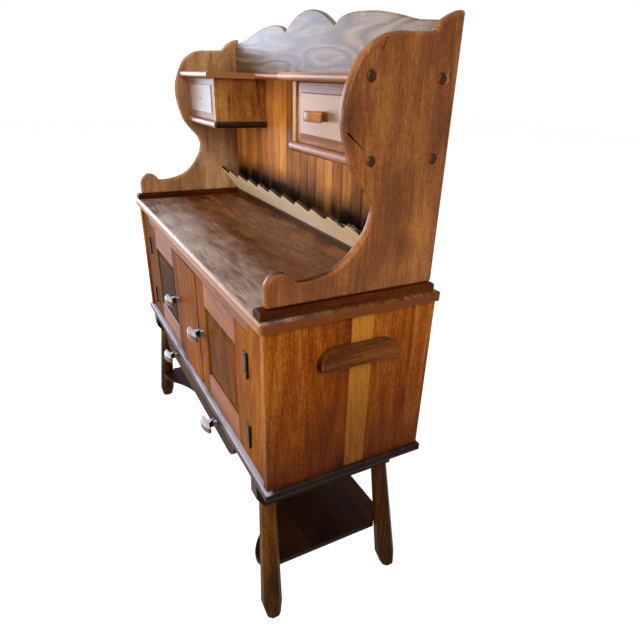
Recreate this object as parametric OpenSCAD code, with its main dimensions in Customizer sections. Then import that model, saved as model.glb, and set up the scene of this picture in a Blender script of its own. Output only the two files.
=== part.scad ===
// Bakers cabinet: a hutch over a two-door case on four splayed legs.
// Millimetres, +Z up, the front faces -Y, the floor is Z = 0.
// Heights are stacked from the floor, and depths are measured from the
// middle of the case before the whole model is centred on its own box.

/* [Case] */
// Height of the work surface above the floor
counter_height = 914.4; // [860:1:960]
// Height of the case between the base board and the counter
case_h = 424.8; // [340:1:480]
// Width of the case over its side panels
case_w = 1293.8; // [1100:1:1500]
// Depth of the case side panels
case_d = 447; // [380:1:520]
// Thickness of the case side panels
case_side_t = 20; // [16:0.5:26]
// Thickness of the case back panel
case_back_t = 6; // [4:0.5:10]
// Distance from the back of the side panels to the back panel
case_back_inset = 2; // [0.5:0.5:8]
// Thickness of the counter
counter_t = 24.6; // [18:0.2:34]
// How far the counter passes the case sides
counter_over_side = 9.9; // [4:0.1:24]
// How far the counter passes the case front
counter_over_front = 11.2; // [4:0.1:24]
// How far the counter passes the case back
counter_over_back = 10.5; // [0:0.1:20]
// Radius on the counter's upper edges
counter_round = 12.5; // [2:0.5:14]
// Radius on the counter's lower edges
counter_low_round = 3; // [1:0.5:4]
// Radius of the counter's corners, seen from above
counter_corner_r = 14; // [4:1:24]
// Thickness of the base board under the case
base_t = 23.5; // [16:0.5:34]
// How far the base board passes the case sides
base_over_side = 13.4; // [4:0.1:24]
// How far the base board passes the case front
base_over_front = 8.5; // [4:0.1:20]
// How far the base board passes the case back
base_over_back = 7.2; // [0:0.1:20]
// Radius on the base board's edges
base_round = 8; // [2:0.5:8]
// Radius of the base board's corners, seen from above
base_corner_r = 8; // [2:1:20]
// Height of the inner shelf's top above the base board
inner_shelf_rise = 204; // [120:1:280]
// Thickness of the inner shelf
inner_shelf_t = 18; // [14:0.5:24]
// Width and height of the cleats that carry the inner shelf
cleat_size = 18; // [12:1:28]

/* [Face frame and doors] */
// How far the doors and stiles lie behind the side panels' front edges
face_inset = 8; // [3:0.5:14]
// Thickness of the face frame and of the doors
face_t = 20; // [16:0.5:24]
// Width of each fixed stile beside a side panel
end_stile_w = 97; // [60:1:130]
// Height of the rail under the counter
top_rail_h = 50; // [30:1:80]
// Width of the fixed board between the doors
centre_board_w = 204; // [120:1:280]
// How far the fixed board between the doors stands proud of them
centre_board_proud = 3; // [0:0.5:6]
// Gap all round each door
door_gap = 2; // [1.8:0.1:3]
// Width of the door stile that carries the pull
lock_stile_w = 76; // [50:1:100]
// Width of the door stile that carries the hinges
hinge_stile_w = 88; // [60:1:110]
// Height of the door's top rail
door_top_rail_h = 70; // [45:1:95]
// Height of the door's bottom rail
door_bottom_rail_h = 76; // [45:1:100]
// Depth of the groove that holds the panel
groove_depth = 8; // [6:0.5:12]
// Width of the groove that holds the panel
groove_w = 6.4; // [5:0.2:8]
// Width of the sloping border round a raised door panel
panel_border = 31; // [18:1:45]
// Height of the small step round a raised field
field_step = 1.4; // [0.6:0.1:2.5]
// How far a raised door panel lies behind the door's face
panel_inset = 1.5; // [0.5:0.1:4]
// Width of the chamfer on the inner edge of the door's bottom rail
rail_chamfer = 5; // [2:0.5:8]
// How far each door opens, in degrees
door_open = 110; // [80:1:115]
// How far the stop strip behind the fixed board laps each door
stop_lap = 12; // [6:1:24]
// Thickness of the stop strip behind the fixed board
stop_t = 10; // [6:1:16]

/* [Hinges] */
// Height of each hinge
hinge_h = 64; // [50:1:80]
// Width of the leaf on the door's face
hinge_leaf_w = 30; // [20:1:40]
// Thickness of both hinge leaves
hinge_leaf_t = 1.6; // [1.2:0.1:1.7]
// Outer radius of the hinge knuckles
knuckle_r = 3.4; // [3:0.1:4.5]
// Radius of the hinge pin
hinge_pin_r = 1.75; // [1.4:0.05:2.1]
// Gap all round the hinge pin
hinge_pin_gap = 0.05; // [0.02:0.01:0.09]
// Distance from the door's top to the middle of the upper hinge
upper_hinge_drop = 87; // [50:1:120]
// Distance from the door's bottom to the middle of the lower hinge
lower_hinge_rise = 78; // [50:1:120]
// Radius of a hinge screw's head
hinge_screw_r = 2.8; // [2:0.1:3.6]

/* [Pulls] */
// Length of a wooden pull's grip
pull_l = 80; // [70:1:100]
// Height of a wooden pull
pull_h = 20; // [16:1:30]
// Distance a pull's front stands off its face
pull_reach = 46; // [36:1:56]
// How far the ends of the grip lie behind its front
pull_bow = 13; // [6:0.5:16]
// Thickness of the grip at its middle
pull_t = 21; // [16:0.5:24]
// Thickness of the grip at its ends
pull_tip_t = 7; // [5:0.5:10]
// Width of a pull's neck
pull_neck_w = 19; // [14:0.5:24]
// Width of a pull's foot where it meets its face
pull_foot_w = 26; // [20:0.5:32]
// Distance from a door's inner edge to the middle of its pull
door_pull_in = 39; // [30:1:50]
// Height of the door pulls above the door's bottom
door_pull_rise = 201; // [120:1:260]

/* [Legs and lower shelf] */
// Width of a leg at its top
leg_top_w = 41.5; // [28:0.1:50]
// Width of a leg at its widest, just above the foot
leg_low_w = 55; // [42:0.1:70]
// Width of the foot where it meets the floor
foot_w = 40; // [30:0.5:50]
// Height of the bevelled foot
foot_h = 40; // [24:1:60]
// How far each foot's floor face lies outside its leg's middle line
foot_out = 5; // [0:0.5:8]
// How far each foot's floor face lies behind its leg's middle line
foot_back = 2; // [0:0.5:6]
// Share of a leg's width taken by each corner chamfer
leg_chamfer = 0.26; // [0.15:0.01:0.3]
// Distance from the base board's ends to the middle of each leg's top
leg_top_in = 90; // [50:0.5:130]
// How far each leg spreads outwards at the floor
leg_spread_x = 60.7; // [10:0.1:75]
// Distance from the base board's front to the middle of a front leg's top
leg_front_in = 40.1; // [25:0.1:80]
// How far a front leg spreads forwards at the floor
leg_front_spread = 18.9; // [4:0.1:40]
// Distance from the base board's back to the middle of a back leg's top
leg_back_in = 72.1; // [30:0.1:110]
// How far a back leg spreads backwards at the floor
leg_back_spread = 19.2; // [4:0.1:50]
// Depth of the battens between the base board and the legs
batten_h = 79; // [60:1:110]
// Width of the battens
batten_w = 42; // [40:1:60]
// How far up each batten's front end the bevel reaches
batten_bevel_h = 32; // [10:1:60]
// How far back along each batten's underside the bevel reaches
batten_bevel_d = 20; // [6:1:24]
// How far each batten passes the back leg
batten_past_leg = 6; // [2:1:20]
// Distance from the base board's front edge to the battens' front ends
batten_end_inset = 3; // [0:1:20]
// Height of the lower shelf's top above the floor
low_shelf_z = 147; // [110:1:220]
// Thickness of the lower shelf
low_shelf_t = 18; // [12:0.5:26]
// How far the lower shelf's horns lie behind the base board's front
low_shelf_front_in = 8; // [0:1:30]
// Depth of the hollow in the lower shelf's front edge
low_shelf_hollow = 120; // [80:1:160]
// How far the lower shelf's back edge lies inside the base board's back
low_shelf_back_in = 40.7; // [10:0.1:80]
// Width of each horn of the lower shelf
horn_w = 78; // [60:1:110]
// How far the lower shelf passes the legs' inner faces between the legs
low_shelf_out = 16; // [0:0.5:20]
// Gap between the lower shelf and the legs
low_shelf_gap = 0.3; // [0.1:0.1:0.8]

/* [Lift handles] */
// Length of each lift handle on the case sides
lift_l = 211; // [160:1:280]
// Height of each lift handle
lift_h = 50; // [45:1:80]
// How far a lift handle stands off the case at its lower edge
lift_out = 30; // [22:1:40]
// How far a lift handle stands off the case at its top
lift_top_out = 11; // [6:1:18]
// Radius of a lift handle's upper corners
lift_round = 42; // [20:1:44]
// Distance of a lift handle's middle behind the case middle
lift_shift = 6.5; // [-40:1:60]
// Distance from the counter's underside to a lift handle's top
lift_drop = 65; // [40:1:120]
// Thickness of the lip that the fingers hold
lift_lip = 11; // [8:0.5:14]
// Height of the finger hollow under a lift handle
lift_hollow_h = 24; // [16:1:34]

/* [Hutch] */
// Thickness of the hutch sides
hutch_side_t = 23.1; // [16:0.1:28]
// How far the hutch sides lie inside the counter's ends
hutch_side_inset = 19.6; // [8:0.1:60]
// How far the hutch sides stop short of the counter's back edge
hutch_back_inset = 26.4; // [10:0.1:50]
// Height of the moulding that the hutch stands on
sill_h = 20.2; // [14:0.1:28]
// How far the moulding passes the hutch side outwards
sill_out = 7.8; // [2:0.1:11]
// How far the moulding passes the hutch side inwards
sill_in = 6.1; // [2:0.1:14]
// Distance from the counter's front edge to the moulding's nose
sill_nose_inset = 5; // [2:0.5:20]
// Radius on the moulding's top edges
sill_round = 7; // [2:0.5:9]
// Depth of the moulding strip under the back boards
sill_back_d = 31; // [27:1:44]
// Thickness of the back boards
back_board_t = 12; // [8:0.5:16]
// Number of back boards side by side
back_board_n = 23; // [12:1:32]
// Distance from the hutch's back edge to the back of the boards
back_board_inset = 9.6; // [5:0.1:14]
// Depth of the groove between two back boards
back_bevel = 2.6; // [1:0.1:4]
// Gap between two back boards
back_board_gap = 0.3; // [0.1:0.1:0.8]
// Height of the top shelf's upper face above the hutch base
top_shelf_rise = 432.7; // [380:1:480]
// Thickness of the top shelf
top_shelf_t = 17.7; // [14:0.1:24]
// Width of the recess in the middle of the top shelf
recess_w = 566.2; // [400:1:700]
// Depth of the top shelf at that recess
recess_d = 51; // [30:1:90]
// Depth of the top shelf over the drawers
top_shelf_d = 214; // [160:1:230]
// Thickness of the crest board
crest_t = 15; // [12:0.5:22]
// Height of the crest at its middle above the top shelf
crest_rise = 161.4; // [120:1:200]
// Radius of the crest's middle arc
crest_arc_r = 281; // [220:1:340]
// Half-width of the crest's middle arc
crest_arc_half = 154.3; // [110:1:200]
// Radius of the dark plugs in the hutch sides
plug_r = 8; // [6:0.5:14]
// Depth of the plug holes
plug_depth = 8; // [4:0.5:14]
// Distance from a board's top down to the plugs at its end
plug_drop = 5; // [3:0.5:9]
// Distance from the upper drawers' front back to the upper front plugs
plug_upper_in = 3.5; // [0:0.5:20]
// Distance from the upper drawers' front back to the lower front plugs
plug_lower_in = 14.7; // [4:0.1:24]
// Distance from the back boards forward to the back plugs
plug_back_in = 13.6; // [10:0.1:24]
// How far the plugs stand out of the hutch sides
plug_proud = 1.2; // [0.4:0.1:3]

/* [Plate rail] */
// Distance between two peaks of the plate rail
scallop_pitch = 101.6; // [60:0.1:140]
// Depth of the plate rail's waves
scallop_depth = 22; // [6:1:26]
// Height of the plate rail's peaks above the hutch base
rail_rise = 86; // [60:1:110]
// How far the plate rail leans forward, in degrees from upright
rail_lean = 40; // [25:1:50]
// Thickness of the plate rail
rail_t = 11; // [8:0.5:15]
// Distance from the back boards to the foot of the plate rail's front face
rail_foot_in = 3; // [1:0.5:8]

/* [Upper drawers] */
// Height of the upper drawer openings
upper_open_h = 131.9; // [100:1:160]
// Width of the upper drawer openings
upper_open_w = 292.8; // [220:1:360]
// Thickness of the upright board beside each upper drawer
box_side_t = 18; // [12:0.5:24]
// Thickness of the board under each upper drawer
box_bottom_t = 20.9; // [14:0.1:26]
// Distance from the back boards to the front of the upper drawers
upper_d = 182.5; // [140:1:200]
// How far the board under a drawer passes the drawer's front
box_bottom_over = 8.8; // [3:0.1:16]
// How far the board under a drawer passes the upright board
box_bottom_side_over = 10.3; // [3:0.1:18]
// Gap round the upper drawers' fronts
upper_gap = 1.2; // [0.8:0.1:2]
// Thickness of a drawer front
drawer_front_t = 19; // [16:0.5:24]
// Width of the border round a raised drawer field
drawer_border = 22; // [14:1:32]
// Thickness of the drawers' sides and backs
drawer_side_t = 10; // [8:0.5:14]
// Thickness of the drawers' bottoms
drawer_bottom_t = 5; // [4:0.5:8]
// Gap under a drawer where it slides
slide_gap = 0.3; // [0.1:0.1:0.6]
// Radius of the screw hole in a drawer front
pull_hole_r = 2.6; // [2:0.1:4]
// How far the upper drawers open
upper_travel = 130; // [90:1:140]

/* [Lower drawer] */
// How far the lower drawer's front passes its box on each side
low_front_past = 25; // [22:1:60]
// Height of the lower drawer's front
low_front_h = 69.6; // [60:0.1:110]
// Radius of the lower drawer front's bottom corners
low_corner_r = 60; // [20:1:65]
// Gap between the lower drawer's front and the base board
low_gap = 1; // [0.6:0.1:2]
// Height of the lower drawer's box above the bottom of its front
low_box_rise = 14; // [6:1:20]
// Depth of the lower drawer's box
low_box_d = 383; // [300:1:400]
// Width of the lower drawer's box
low_box_w = 760; // [540:1:860]
// Distance between the lower drawer's pulls
low_pull_span = 480; // [300:1:620]
// Height of the lower drawer's pulls above the bottom of its front
low_pull_rise = 35.4; // [20:0.1:60]
// Width of the strips that carry the lower drawer
glide_w = 10; // [8:1:16]
// Height of the strips that carry the lower drawer
glide_h = 8; // [6:1:12]
// Thickness of the runners' feet and webs
runner_t = 12; // [8:1:18]
// How far the lower drawer opens
low_travel = 250; // [180:1:300]

/* [Hidden] */
cut = 1;
fit_gap = 0.3;
glue_line = 0.1;
tongue_gap = 0.4;
side_gap = 0.6;
arc_steps = 24;
curve_steps = 5;

base_top = counter_height - counter_t - case_h;
base_bottom = base_top - base_t;
case_top = base_top + case_h;
half_w = case_w / 2;
half_d = case_d / 2;
inner_x = half_w - case_side_t;
face_y = -half_d + face_inset;
stile_inner_x = inner_x - end_stile_w;
centre_half = centre_board_w / 2;
rail_bottom = case_top - top_rail_h;
door_w = stile_inner_x - centre_half - 2 * door_gap;
door_h = rail_bottom - base_top - 2 * door_gap;
door_z = base_top + door_gap;
door_mid_x = (stile_inner_x + centre_half) / 2;
pin_x = stile_inner_x - door_gap / 2;
pin_y = face_y - knuckle_r - 0.2;
bore_r = hinge_pin_r + hinge_pin_gap;
hinge_zs = [door_z + lower_hinge_rise, door_z + door_h - upper_hinge_drop];

counter_x = half_w + counter_over_side;
counter_front = -half_d - counter_over_front;
counter_back = half_d + counter_over_back;
base_x = half_w + base_over_side;
base_front = -half_d - base_over_front;
base_back = half_d + base_over_back;

batten_bottom = base_bottom - batten_h;
leg_top_x = base_x - leg_top_in;
leg_front_y = base_front + leg_front_in;
leg_back_y = base_back - leg_back_in;
low_front_y = -half_d;
low_front_top = base_bottom - low_gap;
low_front_z = low_front_top - low_front_h;

hutch_z = counter_height + sill_h;
hutch_x = counter_x - hutch_side_inset;
hutch_in_x = hutch_x - hutch_side_t;
hutch_back = counter_back - hutch_back_inset;
wall_y = hutch_back - back_board_inset - back_board_t;
top_shelf_z = hutch_z + top_shelf_rise;
shelf_under_z = top_shelf_z - top_shelf_t;
box_floor_z = shelf_under_z - upper_open_h;
box_side_x = hutch_in_x - upper_open_w;
upper_front_y = wall_y - upper_d;
box_bottom_z = box_floor_z - box_bottom_t;

front_reach = -low_front_y + pull_reach;
back_reach = counter_back;
centre_shift = (front_reach - back_reach) / 2;

// Colours for the preview
brown = [0.50, 0.28, 0.14];
dark = [0.25, 0.12, 0.06];
gold = [0.66, 0.41, 0.19];
pale = [0.83, 0.66, 0.50];
iron = [0.16, 0.14, 0.13];

// ---- helpers ----

// A box from its lowest to its highest corner
module span(low, high) {
    translate(low) cube(high - low);
}

// Everything is written round the middle of the case and moved once
module placed() {
    translate([0, centre_shift, 0]) children();
}

// Children on the right (side = 1), or mirrored to the left (side = -1)
module on_side(side) {
    if (side > 0) children();
    else mirror([1, 0, 0]) children();
}

// Section of a board w by t, from the origin, with rounded lower and upper corners
module round_section(w, t, low_r, top_r) {
    translate([low_r, 0]) square([w - 2 * low_r, t - top_r]);
    translate([0, low_r]) square([w, t - low_r - top_r]);
    translate([top_r, low_r]) square([w - 2 * top_r, t - low_r]);
    for (x = [low_r, w - low_r]) translate([x, low_r]) circle(r = low_r, $fn = 48);
    for (x = [top_r, w - top_r]) translate([x, t - top_r]) circle(r = top_r, $fn = 64);
}

// Lying board with its long edges and its four corners rounded
module rounded_board(low, high, low_r, top_r, corner_r) {
    s = high - low;
    translate(low) intersection() {
        translate([0, s[1], 0]) rotate([90, 0, 0])
            linear_extrude(height = s[1]) round_section(s[0], s[2], low_r, top_r);
        rotate([90, 0, 90]) linear_extrude(height = s[0])
            round_section(s[1], s[2], low_r, top_r);
        linear_extrude(height = s[2]) round_section(s[0], s[1], corner_r, corner_r);
    }
}

// Outline in Y and Z made into a board from x0 to x1
module outline_x(x0, x1) {
    translate([x0, 0, 0]) rotate([90, 0, 90]) linear_extrude(height = x1 - x0) children();
}

// Outline in X and Z made into a board from y0 to y1
module outline_y(y0, y1) {
    translate([0, y1, 0]) rotate([90, 0, 0]) linear_extrude(height = y1 - y0) children();
}

// Smooth curve through points, curve_steps points to each span
function curve_point(a, b, c, d, t) =
    0.5 * ((2 * b) + (c - a) * t + (2 * a - 5 * b + 4 * c - d) * t * t
    + (3 * b - a - 3 * c + d) * t * t * t);
function smooth(p) = let (n = len(p)) concat(
    [for (i = [0 : n - 2]) for (k = [0 : curve_steps - 1])
        curve_point(p[max(i - 1, 0)], p[i], p[i + 1], p[min(i + 2, n - 1)], k / curve_steps)],
    [p[n - 1]]);

// Points of an arc, in degrees
function arc(c, r, a0, a1) =
    [for (k = [0 : arc_steps]) let (a = a0 + (a1 - a0) * k / arc_steps)
        [c[0] + r * cos(a), c[1] + r * sin(a)]];

// Section through a raised panel: x across, y into the wood.
// half is half its width, front its raised face, edge the face of its rim.
module raised_section(half, border, front, edge, back) {
    field = half - border;
    polygon([[-half, back], [-half, edge], [-field, front + field_step], [-field, front],
             [field, front], [field, front + field_step], [half, edge], [half, back]]);
}

// Raised panel, standing, centred on (x, z)
module raised_panel(x, z, w, h, border, front, edge, back) {
    intersection() {
        translate([x, 0, z - h / 2]) linear_extrude(height = h)
            raised_section(w / 2, border, front, edge, back);
        translate([x + w / 2, 0, z]) rotate([0, -90, 0]) linear_extrude(height = w)
            raised_section(h / 2, border, front, edge, back);
    }
}

// Wooden pull, sawn from one board: a bowed grip on a neck that flares to its foot.
// Right half of its outline, from the foot on the face at y = 0 round to the front.
function pull_edge() = let (n = pull_neck_w / 2, x = pull_l / 2, tip = pull_tip_t / 2,
        back = -pull_reach + pull_t, end = -pull_reach + pull_bow + tip,
        bow_r = (pow(x, 2) + pow(pull_bow, 2)) / (2 * pull_bow), span_a = asin((x - tip) / bow_r))
    concat(
        smooth([[pull_foot_w / 2, 0], [n + 1, back * 0.24], [n, back * 0.56], [n + 2.5, back * 0.84],
                [n + 10, back + 1], [x - 10, end + tip + 1.5], [x - tip, end + tip]]),
        arc([x - tip, end], tip, 60, -45),
        [for (k = [arc_steps : -1 : 0]) let (a = span_a * k / arc_steps)
            [bow_r * sin(a), -pull_reach + bow_r * (1 - cos(a))]]);

module pull_shape() {
    edge = pull_edge();
    n = len(edge);
    translate([0, 0, -pull_h / 2]) linear_extrude(height = pull_h)
        polygon(concat(edge, [for (k = [n - 2 : -1 : 0]) [-edge[k][0], edge[k][1]]]));
}

module pull_at(x, y, z) {
    translate([x, y, z]) pull_shape();
}

// ---- case ----

module case_side(side) {
    placed() on_side(side)
        span([inner_x, -half_d, base_top], [half_w, half_d, case_top]);
}
module case_side_left() { color(brown) case_side(-1); }
module case_side_right() { color(brown) case_side(1); }

module case_back() {
    back = half_d - case_back_inset;
    color(brown) placed()
        span([-inner_x, back - case_back_t, base_top], [inner_x, back, case_top]);
}

module base_board() {
    color(dark) placed() rounded_board([-base_x, base_front, base_bottom],
        [base_x, base_back, base_top], base_round, base_round, base_corner_r);
}

module counter_top() {
    color(brown) placed() rounded_board([-counter_x, counter_front, case_top],
        [counter_x, counter_back, counter_height],
        counter_low_round, counter_round, counter_corner_r);
}

module end_stile(side) {
    placed() on_side(side)
        span([stile_inner_x, face_y, base_top], [inner_x, face_y + face_t, case_top]);
}
module end_stile_left() { color(brown) end_stile(-1); }
module end_stile_right() { color(brown) end_stile(1); }

module centre_board() {
    color(brown) placed() span([-centre_half, face_y - centre_board_proud, base_top],
        [centre_half, face_y + face_t, rail_bottom]);
}

module top_rail() {
    color(brown) placed() span([-stile_inner_x, face_y, rail_bottom],
        [stile_inner_x, face_y + face_t, case_top]);
}

module door_stop() {
    reach = centre_half + door_gap + stop_lap;
    front = face_y + face_t + fit_gap;
    color(brown) placed() union() {
        span([-reach, front, base_top], [reach, front + stop_t, rail_bottom]);
        span([-centre_half + cut, front - fit_gap, base_top],
             [centre_half - cut, front + cut, rail_bottom]);
    }
}

module inner_shelf() {
    front = face_y + face_t + fit_gap + stop_t + 4;
    back = half_d - case_back_inset - case_back_t;
    top = base_top + inner_shelf_rise;
    color(brown) placed() span([-inner_x, front, top - inner_shelf_t], [inner_x, back, top]);
}

module shelf_cleats() {
    front = face_y + face_t + 40;
    back = half_d - case_back_inset - case_back_t;
    top = base_top + inner_shelf_rise - inner_shelf_t;
    color(brown) placed() for (side = [-1, 1]) on_side(side)
        span([inner_x - cleat_size, front, top - cleat_size], [inner_x, back, top]);
}

// ---- legs ----

// Board under the base, with the lower corner of its front end bevelled off
module leg_batten(side) {
    y0 = base_front + batten_end_inset;
    y1 = leg_back_y + leg_top_w / 2 + batten_past_leg;
    low = batten_bottom;
    d = batten_bevel_d;
    h = batten_bevel_h;
    placed() on_side(side) outline_x(leg_top_x - batten_w / 2, leg_top_x + batten_w / 2)
        polygon([[y0, base_bottom], [y0, low + h], [y0 + d, low], [y1, low], [y1, base_bottom]]);
}
module leg_batten_left() { color(dark) leg_batten(-1); }
module leg_batten_right() { color(dark) leg_batten(1); }

// Square with cut corners, as a thin slice of a leg at height z
module leg_slice(w, c, z) {
    a = w / 2;
    b = a - w * leg_chamfer;
    translate([c[0], c[1], z]) linear_extrude(height = 0.01)
        polygon([[a, -b], [a, b], [b, a], [-b, a], [-a, b], [-a, -b], [-b, -a], [b, -a]]);
}

// Leg from its middle point at the top to its middle point at the floor
module leg(top, foot) {
    share = 1 - foot_h / batten_bottom;
    knee = top + (foot - top) * share;
    placed() hull() {
        leg_slice(leg_top_w, top, batten_bottom - 0.01);
        leg_slice(leg_low_w, knee, foot_h);
        leg_slice(foot_w, foot + [foot_out, foot_back], 0);
    }
}
front_top = [leg_top_x, leg_front_y];
front_foot = front_top + [leg_spread_x, -leg_front_spread];
back_top = [leg_top_x, leg_back_y];
back_foot = back_top + [leg_spread_x, leg_back_spread];

module leg_front_left() { color(dark) on_side(-1) leg(front_top, front_foot); }
module leg_front_right() { color(dark) leg(front_top, front_foot); }
module leg_back_left() { color(dark) on_side(-1) leg(back_top, back_foot); }
module leg_back_right() { color(dark) leg(back_top, back_foot); }

// The legs at the height of the lower shelf's top: their middles and half their width
leg_share = (batten_bottom - low_shelf_z) / batten_bottom;
knee_share = (batten_bottom - low_shelf_z) / (batten_bottom - foot_h);
leg_half_there = (leg_top_w + (leg_low_w - leg_top_w) * knee_share) / 2;
front_there = front_top + (front_foot - front_top) * leg_share;
back_there = back_top + (back_foot - back_top) * leg_share;
low_shelf_x = front_there[0] - leg_half_there - low_shelf_gap;

// Right half of the lower shelf's hollow front edge, from its end to its middle
low_shelf_front = base_front + low_shelf_front_in;
function shelf_edge() = let (x = low_shelf_x, f = low_shelf_front, h = f + low_shelf_hollow)
    smooth([[x, f + 12], [x - 10, f + 3], [x - 26, f], [x - horn_w * 0.62, f + 5],
            [x - horn_w, f + 22], [x - horn_w - 34, f + 48], [x - horn_w - 90, f + 76],
            [x - horn_w - 170, h - 22], [x - horn_w - 260, h - 5],
            [0.2 * x, h], [0, h]]);

module lower_shelf() {
    edge = shelf_edge();
    n = len(edge);
    b = base_back - low_shelf_back_in;
    x = low_shelf_x;
    out = x + low_shelf_out;
    back_notch = back_there[1] - leg_half_there - low_shelf_gap;
    front_notch = front_there[1] + leg_half_there + low_shelf_gap;
    outline = concat([[-x, b], [x, b], [x, back_notch], [out, back_notch], [out, front_notch],
            [x, front_notch]], edge, [for (k = [n - 2 : -1 : 0]) [-edge[k][0], edge[k][1]]],
        [[-x, front_notch], [-out, front_notch], [-out, back_notch], [-x, back_notch]]);
    color(dark) placed() translate([0, 0, low_shelf_z - low_shelf_t])
        linear_extrude(height = low_shelf_t) polygon(outline);
}

// ---- lift handles ----

module lift_handle(side) {
    top = case_top - lift_drop;
    low = top - lift_h;
    half = lift_l / 2;
    r = lift_round;
    placed() on_side(side) translate([half_w, lift_shift, 0]) difference() {
        intersection() {
            outline_x(-cut, lift_out + cut) {
                translate([-half, low]) square([lift_l, lift_h - r]);
                translate([-half + r, low]) square([lift_l - 2 * r, lift_h]);
                for (s = [-1, 1]) translate([s * (half - r), top - r]) circle(r = r, $fn = 96);
            }
            outline_y(-half - cut, half + cut) polygon([[0, low], [lift_out - 2, low],
                [lift_out, low + 5], [lift_out - 1, low + 14], [lift_top_out, top], [0, top]]);
        }
        span([-cut, -half + 24, low - cut], [lift_out - lift_lip, half - 24, low + lift_hollow_h]);
    }
}
module lift_handle_left() { color(brown) lift_handle(-1); }
module lift_handle_right() { color(brown) lift_handle(1); }

// ---- hutch ----

sill_nose = counter_front + sill_nose_inset;
sill_in_x = hutch_in_x - sill_in;
sill_back_front = hutch_back - sill_back_d;

// Strip with rounded top edges, from low to high
module sill_strip(low, high, r) {
    s = high - low;
    translate(low) intersection() {
        cube(s);
        translate([0, s[1], 0]) rotate([90, 0, 0]) linear_extrude(height = s[1]) {
            square([s[0], s[2] - r]);
            translate([r, 0]) square([s[0] - 2 * r, s[2]]);
            for (x = [r, s[0] - r]) translate([x, s[2] - r]) circle(r = r, $fn = 48);
        }
        rotate([90, 0, 90]) linear_extrude(height = s[0]) {
            square([s[1], s[2] - r]);
            translate([r, 0]) square([s[1] - 2 * r, s[2]]);
            for (y = [r, s[1] - r]) translate([y, s[2] - r]) circle(r = r, $fn = 48);
        }
    }
}
module sill_left() { color(brown) placed() on_side(-1) sill_side(); }
module sill_right() { color(brown) placed() sill_side(); }
module sill_side() {
    sill_strip([sill_in_x, sill_nose, counter_height],
        [hutch_x + sill_out, hutch_back + sill_out, hutch_z], sill_round);
}
module sill_back() {
    color(brown) placed() span([-sill_in_x, sill_back_front, counter_height],
        [sill_in_x, hutch_back, hutch_z]);
}

// Outline of a hutch side in Y and Z; heights are above its foot
function hutch_profile() = let (b = hutch_back, f = sill_nose + 16.5, z = hutch_z, s = top_shelf_rise)
    concat(
    [[b, z], [f, z]],
    arc([f + 35.5, z + 38.5], 35.5, 180, 22),
    smooth([[f + 70.5, z + 50.5], [f + 84.5, z + 49.5], [f + 101.5, z + 50], [f + 120.5, z + 53],
            [f + 150.5, z + 61], [f + 174.5, z + 73.5], [f + 197.5, z + 92], [f + 216.5, z + 114],
            [f + 232.5, z + 139], [f + 240.5, z + 160], [f + 244.5, z + 184], [f + 236.5, z + 208],
            [f + 211.5, z + 236], [f + 188.5, z + 267], [f + 177.5, z + 297], [f + 167.5, z + 328],
            [f + 163.5, z + 360], [f + 165.5, z + 388], [f + 177.5, z + s - 7],
            [f + 202.5, z + s + 35], [f + 240.5, z + s + 62], [f + 276.5, z + s + 71],
            [f + 304.5, z + s + 72], [f + 344.5, z + s + 74.5]]),
    smooth([[b - 64, z + s + 75.5], [b - 56, z + s + 87], [b - 46, z + s + 96],
            [b - 30, z + s + 105], [b - 12, z + s + 112], [b, z + s + 113]]));

// Plug centres in Y and Z
plug_points = [[upper_front_y + plug_upper_in, top_shelf_z - plug_drop],
               [wall_y - plug_back_in, top_shelf_z - plug_drop],
               [upper_front_y + plug_lower_in, box_floor_z - plug_drop],
               [wall_y - plug_back_in, box_floor_z - plug_drop]];

module hutch_side(side) {
    placed() on_side(side) difference() {
        outline_x(hutch_in_x, hutch_x) polygon(hutch_profile());
        for (c = plug_points) translate([hutch_x - plug_depth, c[0], c[1]])
            rotate([0, 90, 0]) cylinder(r = plug_r, h = plug_depth + cut, $fn = 96);
    }
}
module hutch_side_left() { color(brown) hutch_side(-1); }
module hutch_side_right() { color(brown) hutch_side(1); }

module side_plugs() {
    color(iron) placed() for (side = [-1, 1]) on_side(side)
        for (c = plug_points) translate([hutch_x - plug_depth, c[0], c[1]])
            rotate([0, 90, 0]) cylinder(r = plug_r - 0.05, h = plug_depth + plug_proud, $fn = 96);
}

module back_boards() {
    pitch = 2 * hutch_in_x / back_board_n;
    w = pitch - back_board_gap;
    v = back_bevel;
    color(gold) placed() for (k = [0 : back_board_n - 1])
        translate([-hutch_in_x + k * pitch + back_board_gap / 2, wall_y, hutch_z])
            linear_extrude(height = shelf_under_z - hutch_z)
                polygon([[0, v], [v, 0], [w - v, 0], [w, v], [w, back_board_t], [0, back_board_t]]);
}

module top_shelf() {
    r = top_shelf_t / 2;
    wing_front = wall_y - top_shelf_d;
    mid_front = wall_y - recess_d;
    inner = recess_w / 2;
    z0 = shelf_under_z;
    color(brown) placed() union() {
        span([-hutch_in_x, mid_front + r, z0], [hutch_in_x, hutch_back, top_shelf_z]);
        translate([-inner, mid_front + r, z0 + r]) rotate([0, 90, 0])
            cylinder(r = r, h = 2 * inner, $fn = 64);
        for (side = [-1, 1]) on_side(side) {
            span([inner, wing_front + r, z0], [hutch_in_x, mid_front + 2 * r, top_shelf_z]);
            translate([inner, wing_front + r, z0 + r]) rotate([0, 90, 0])
                cylinder(r = r, h = hutch_in_x - inner, $fn = 64);
        }
    }
}

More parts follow.
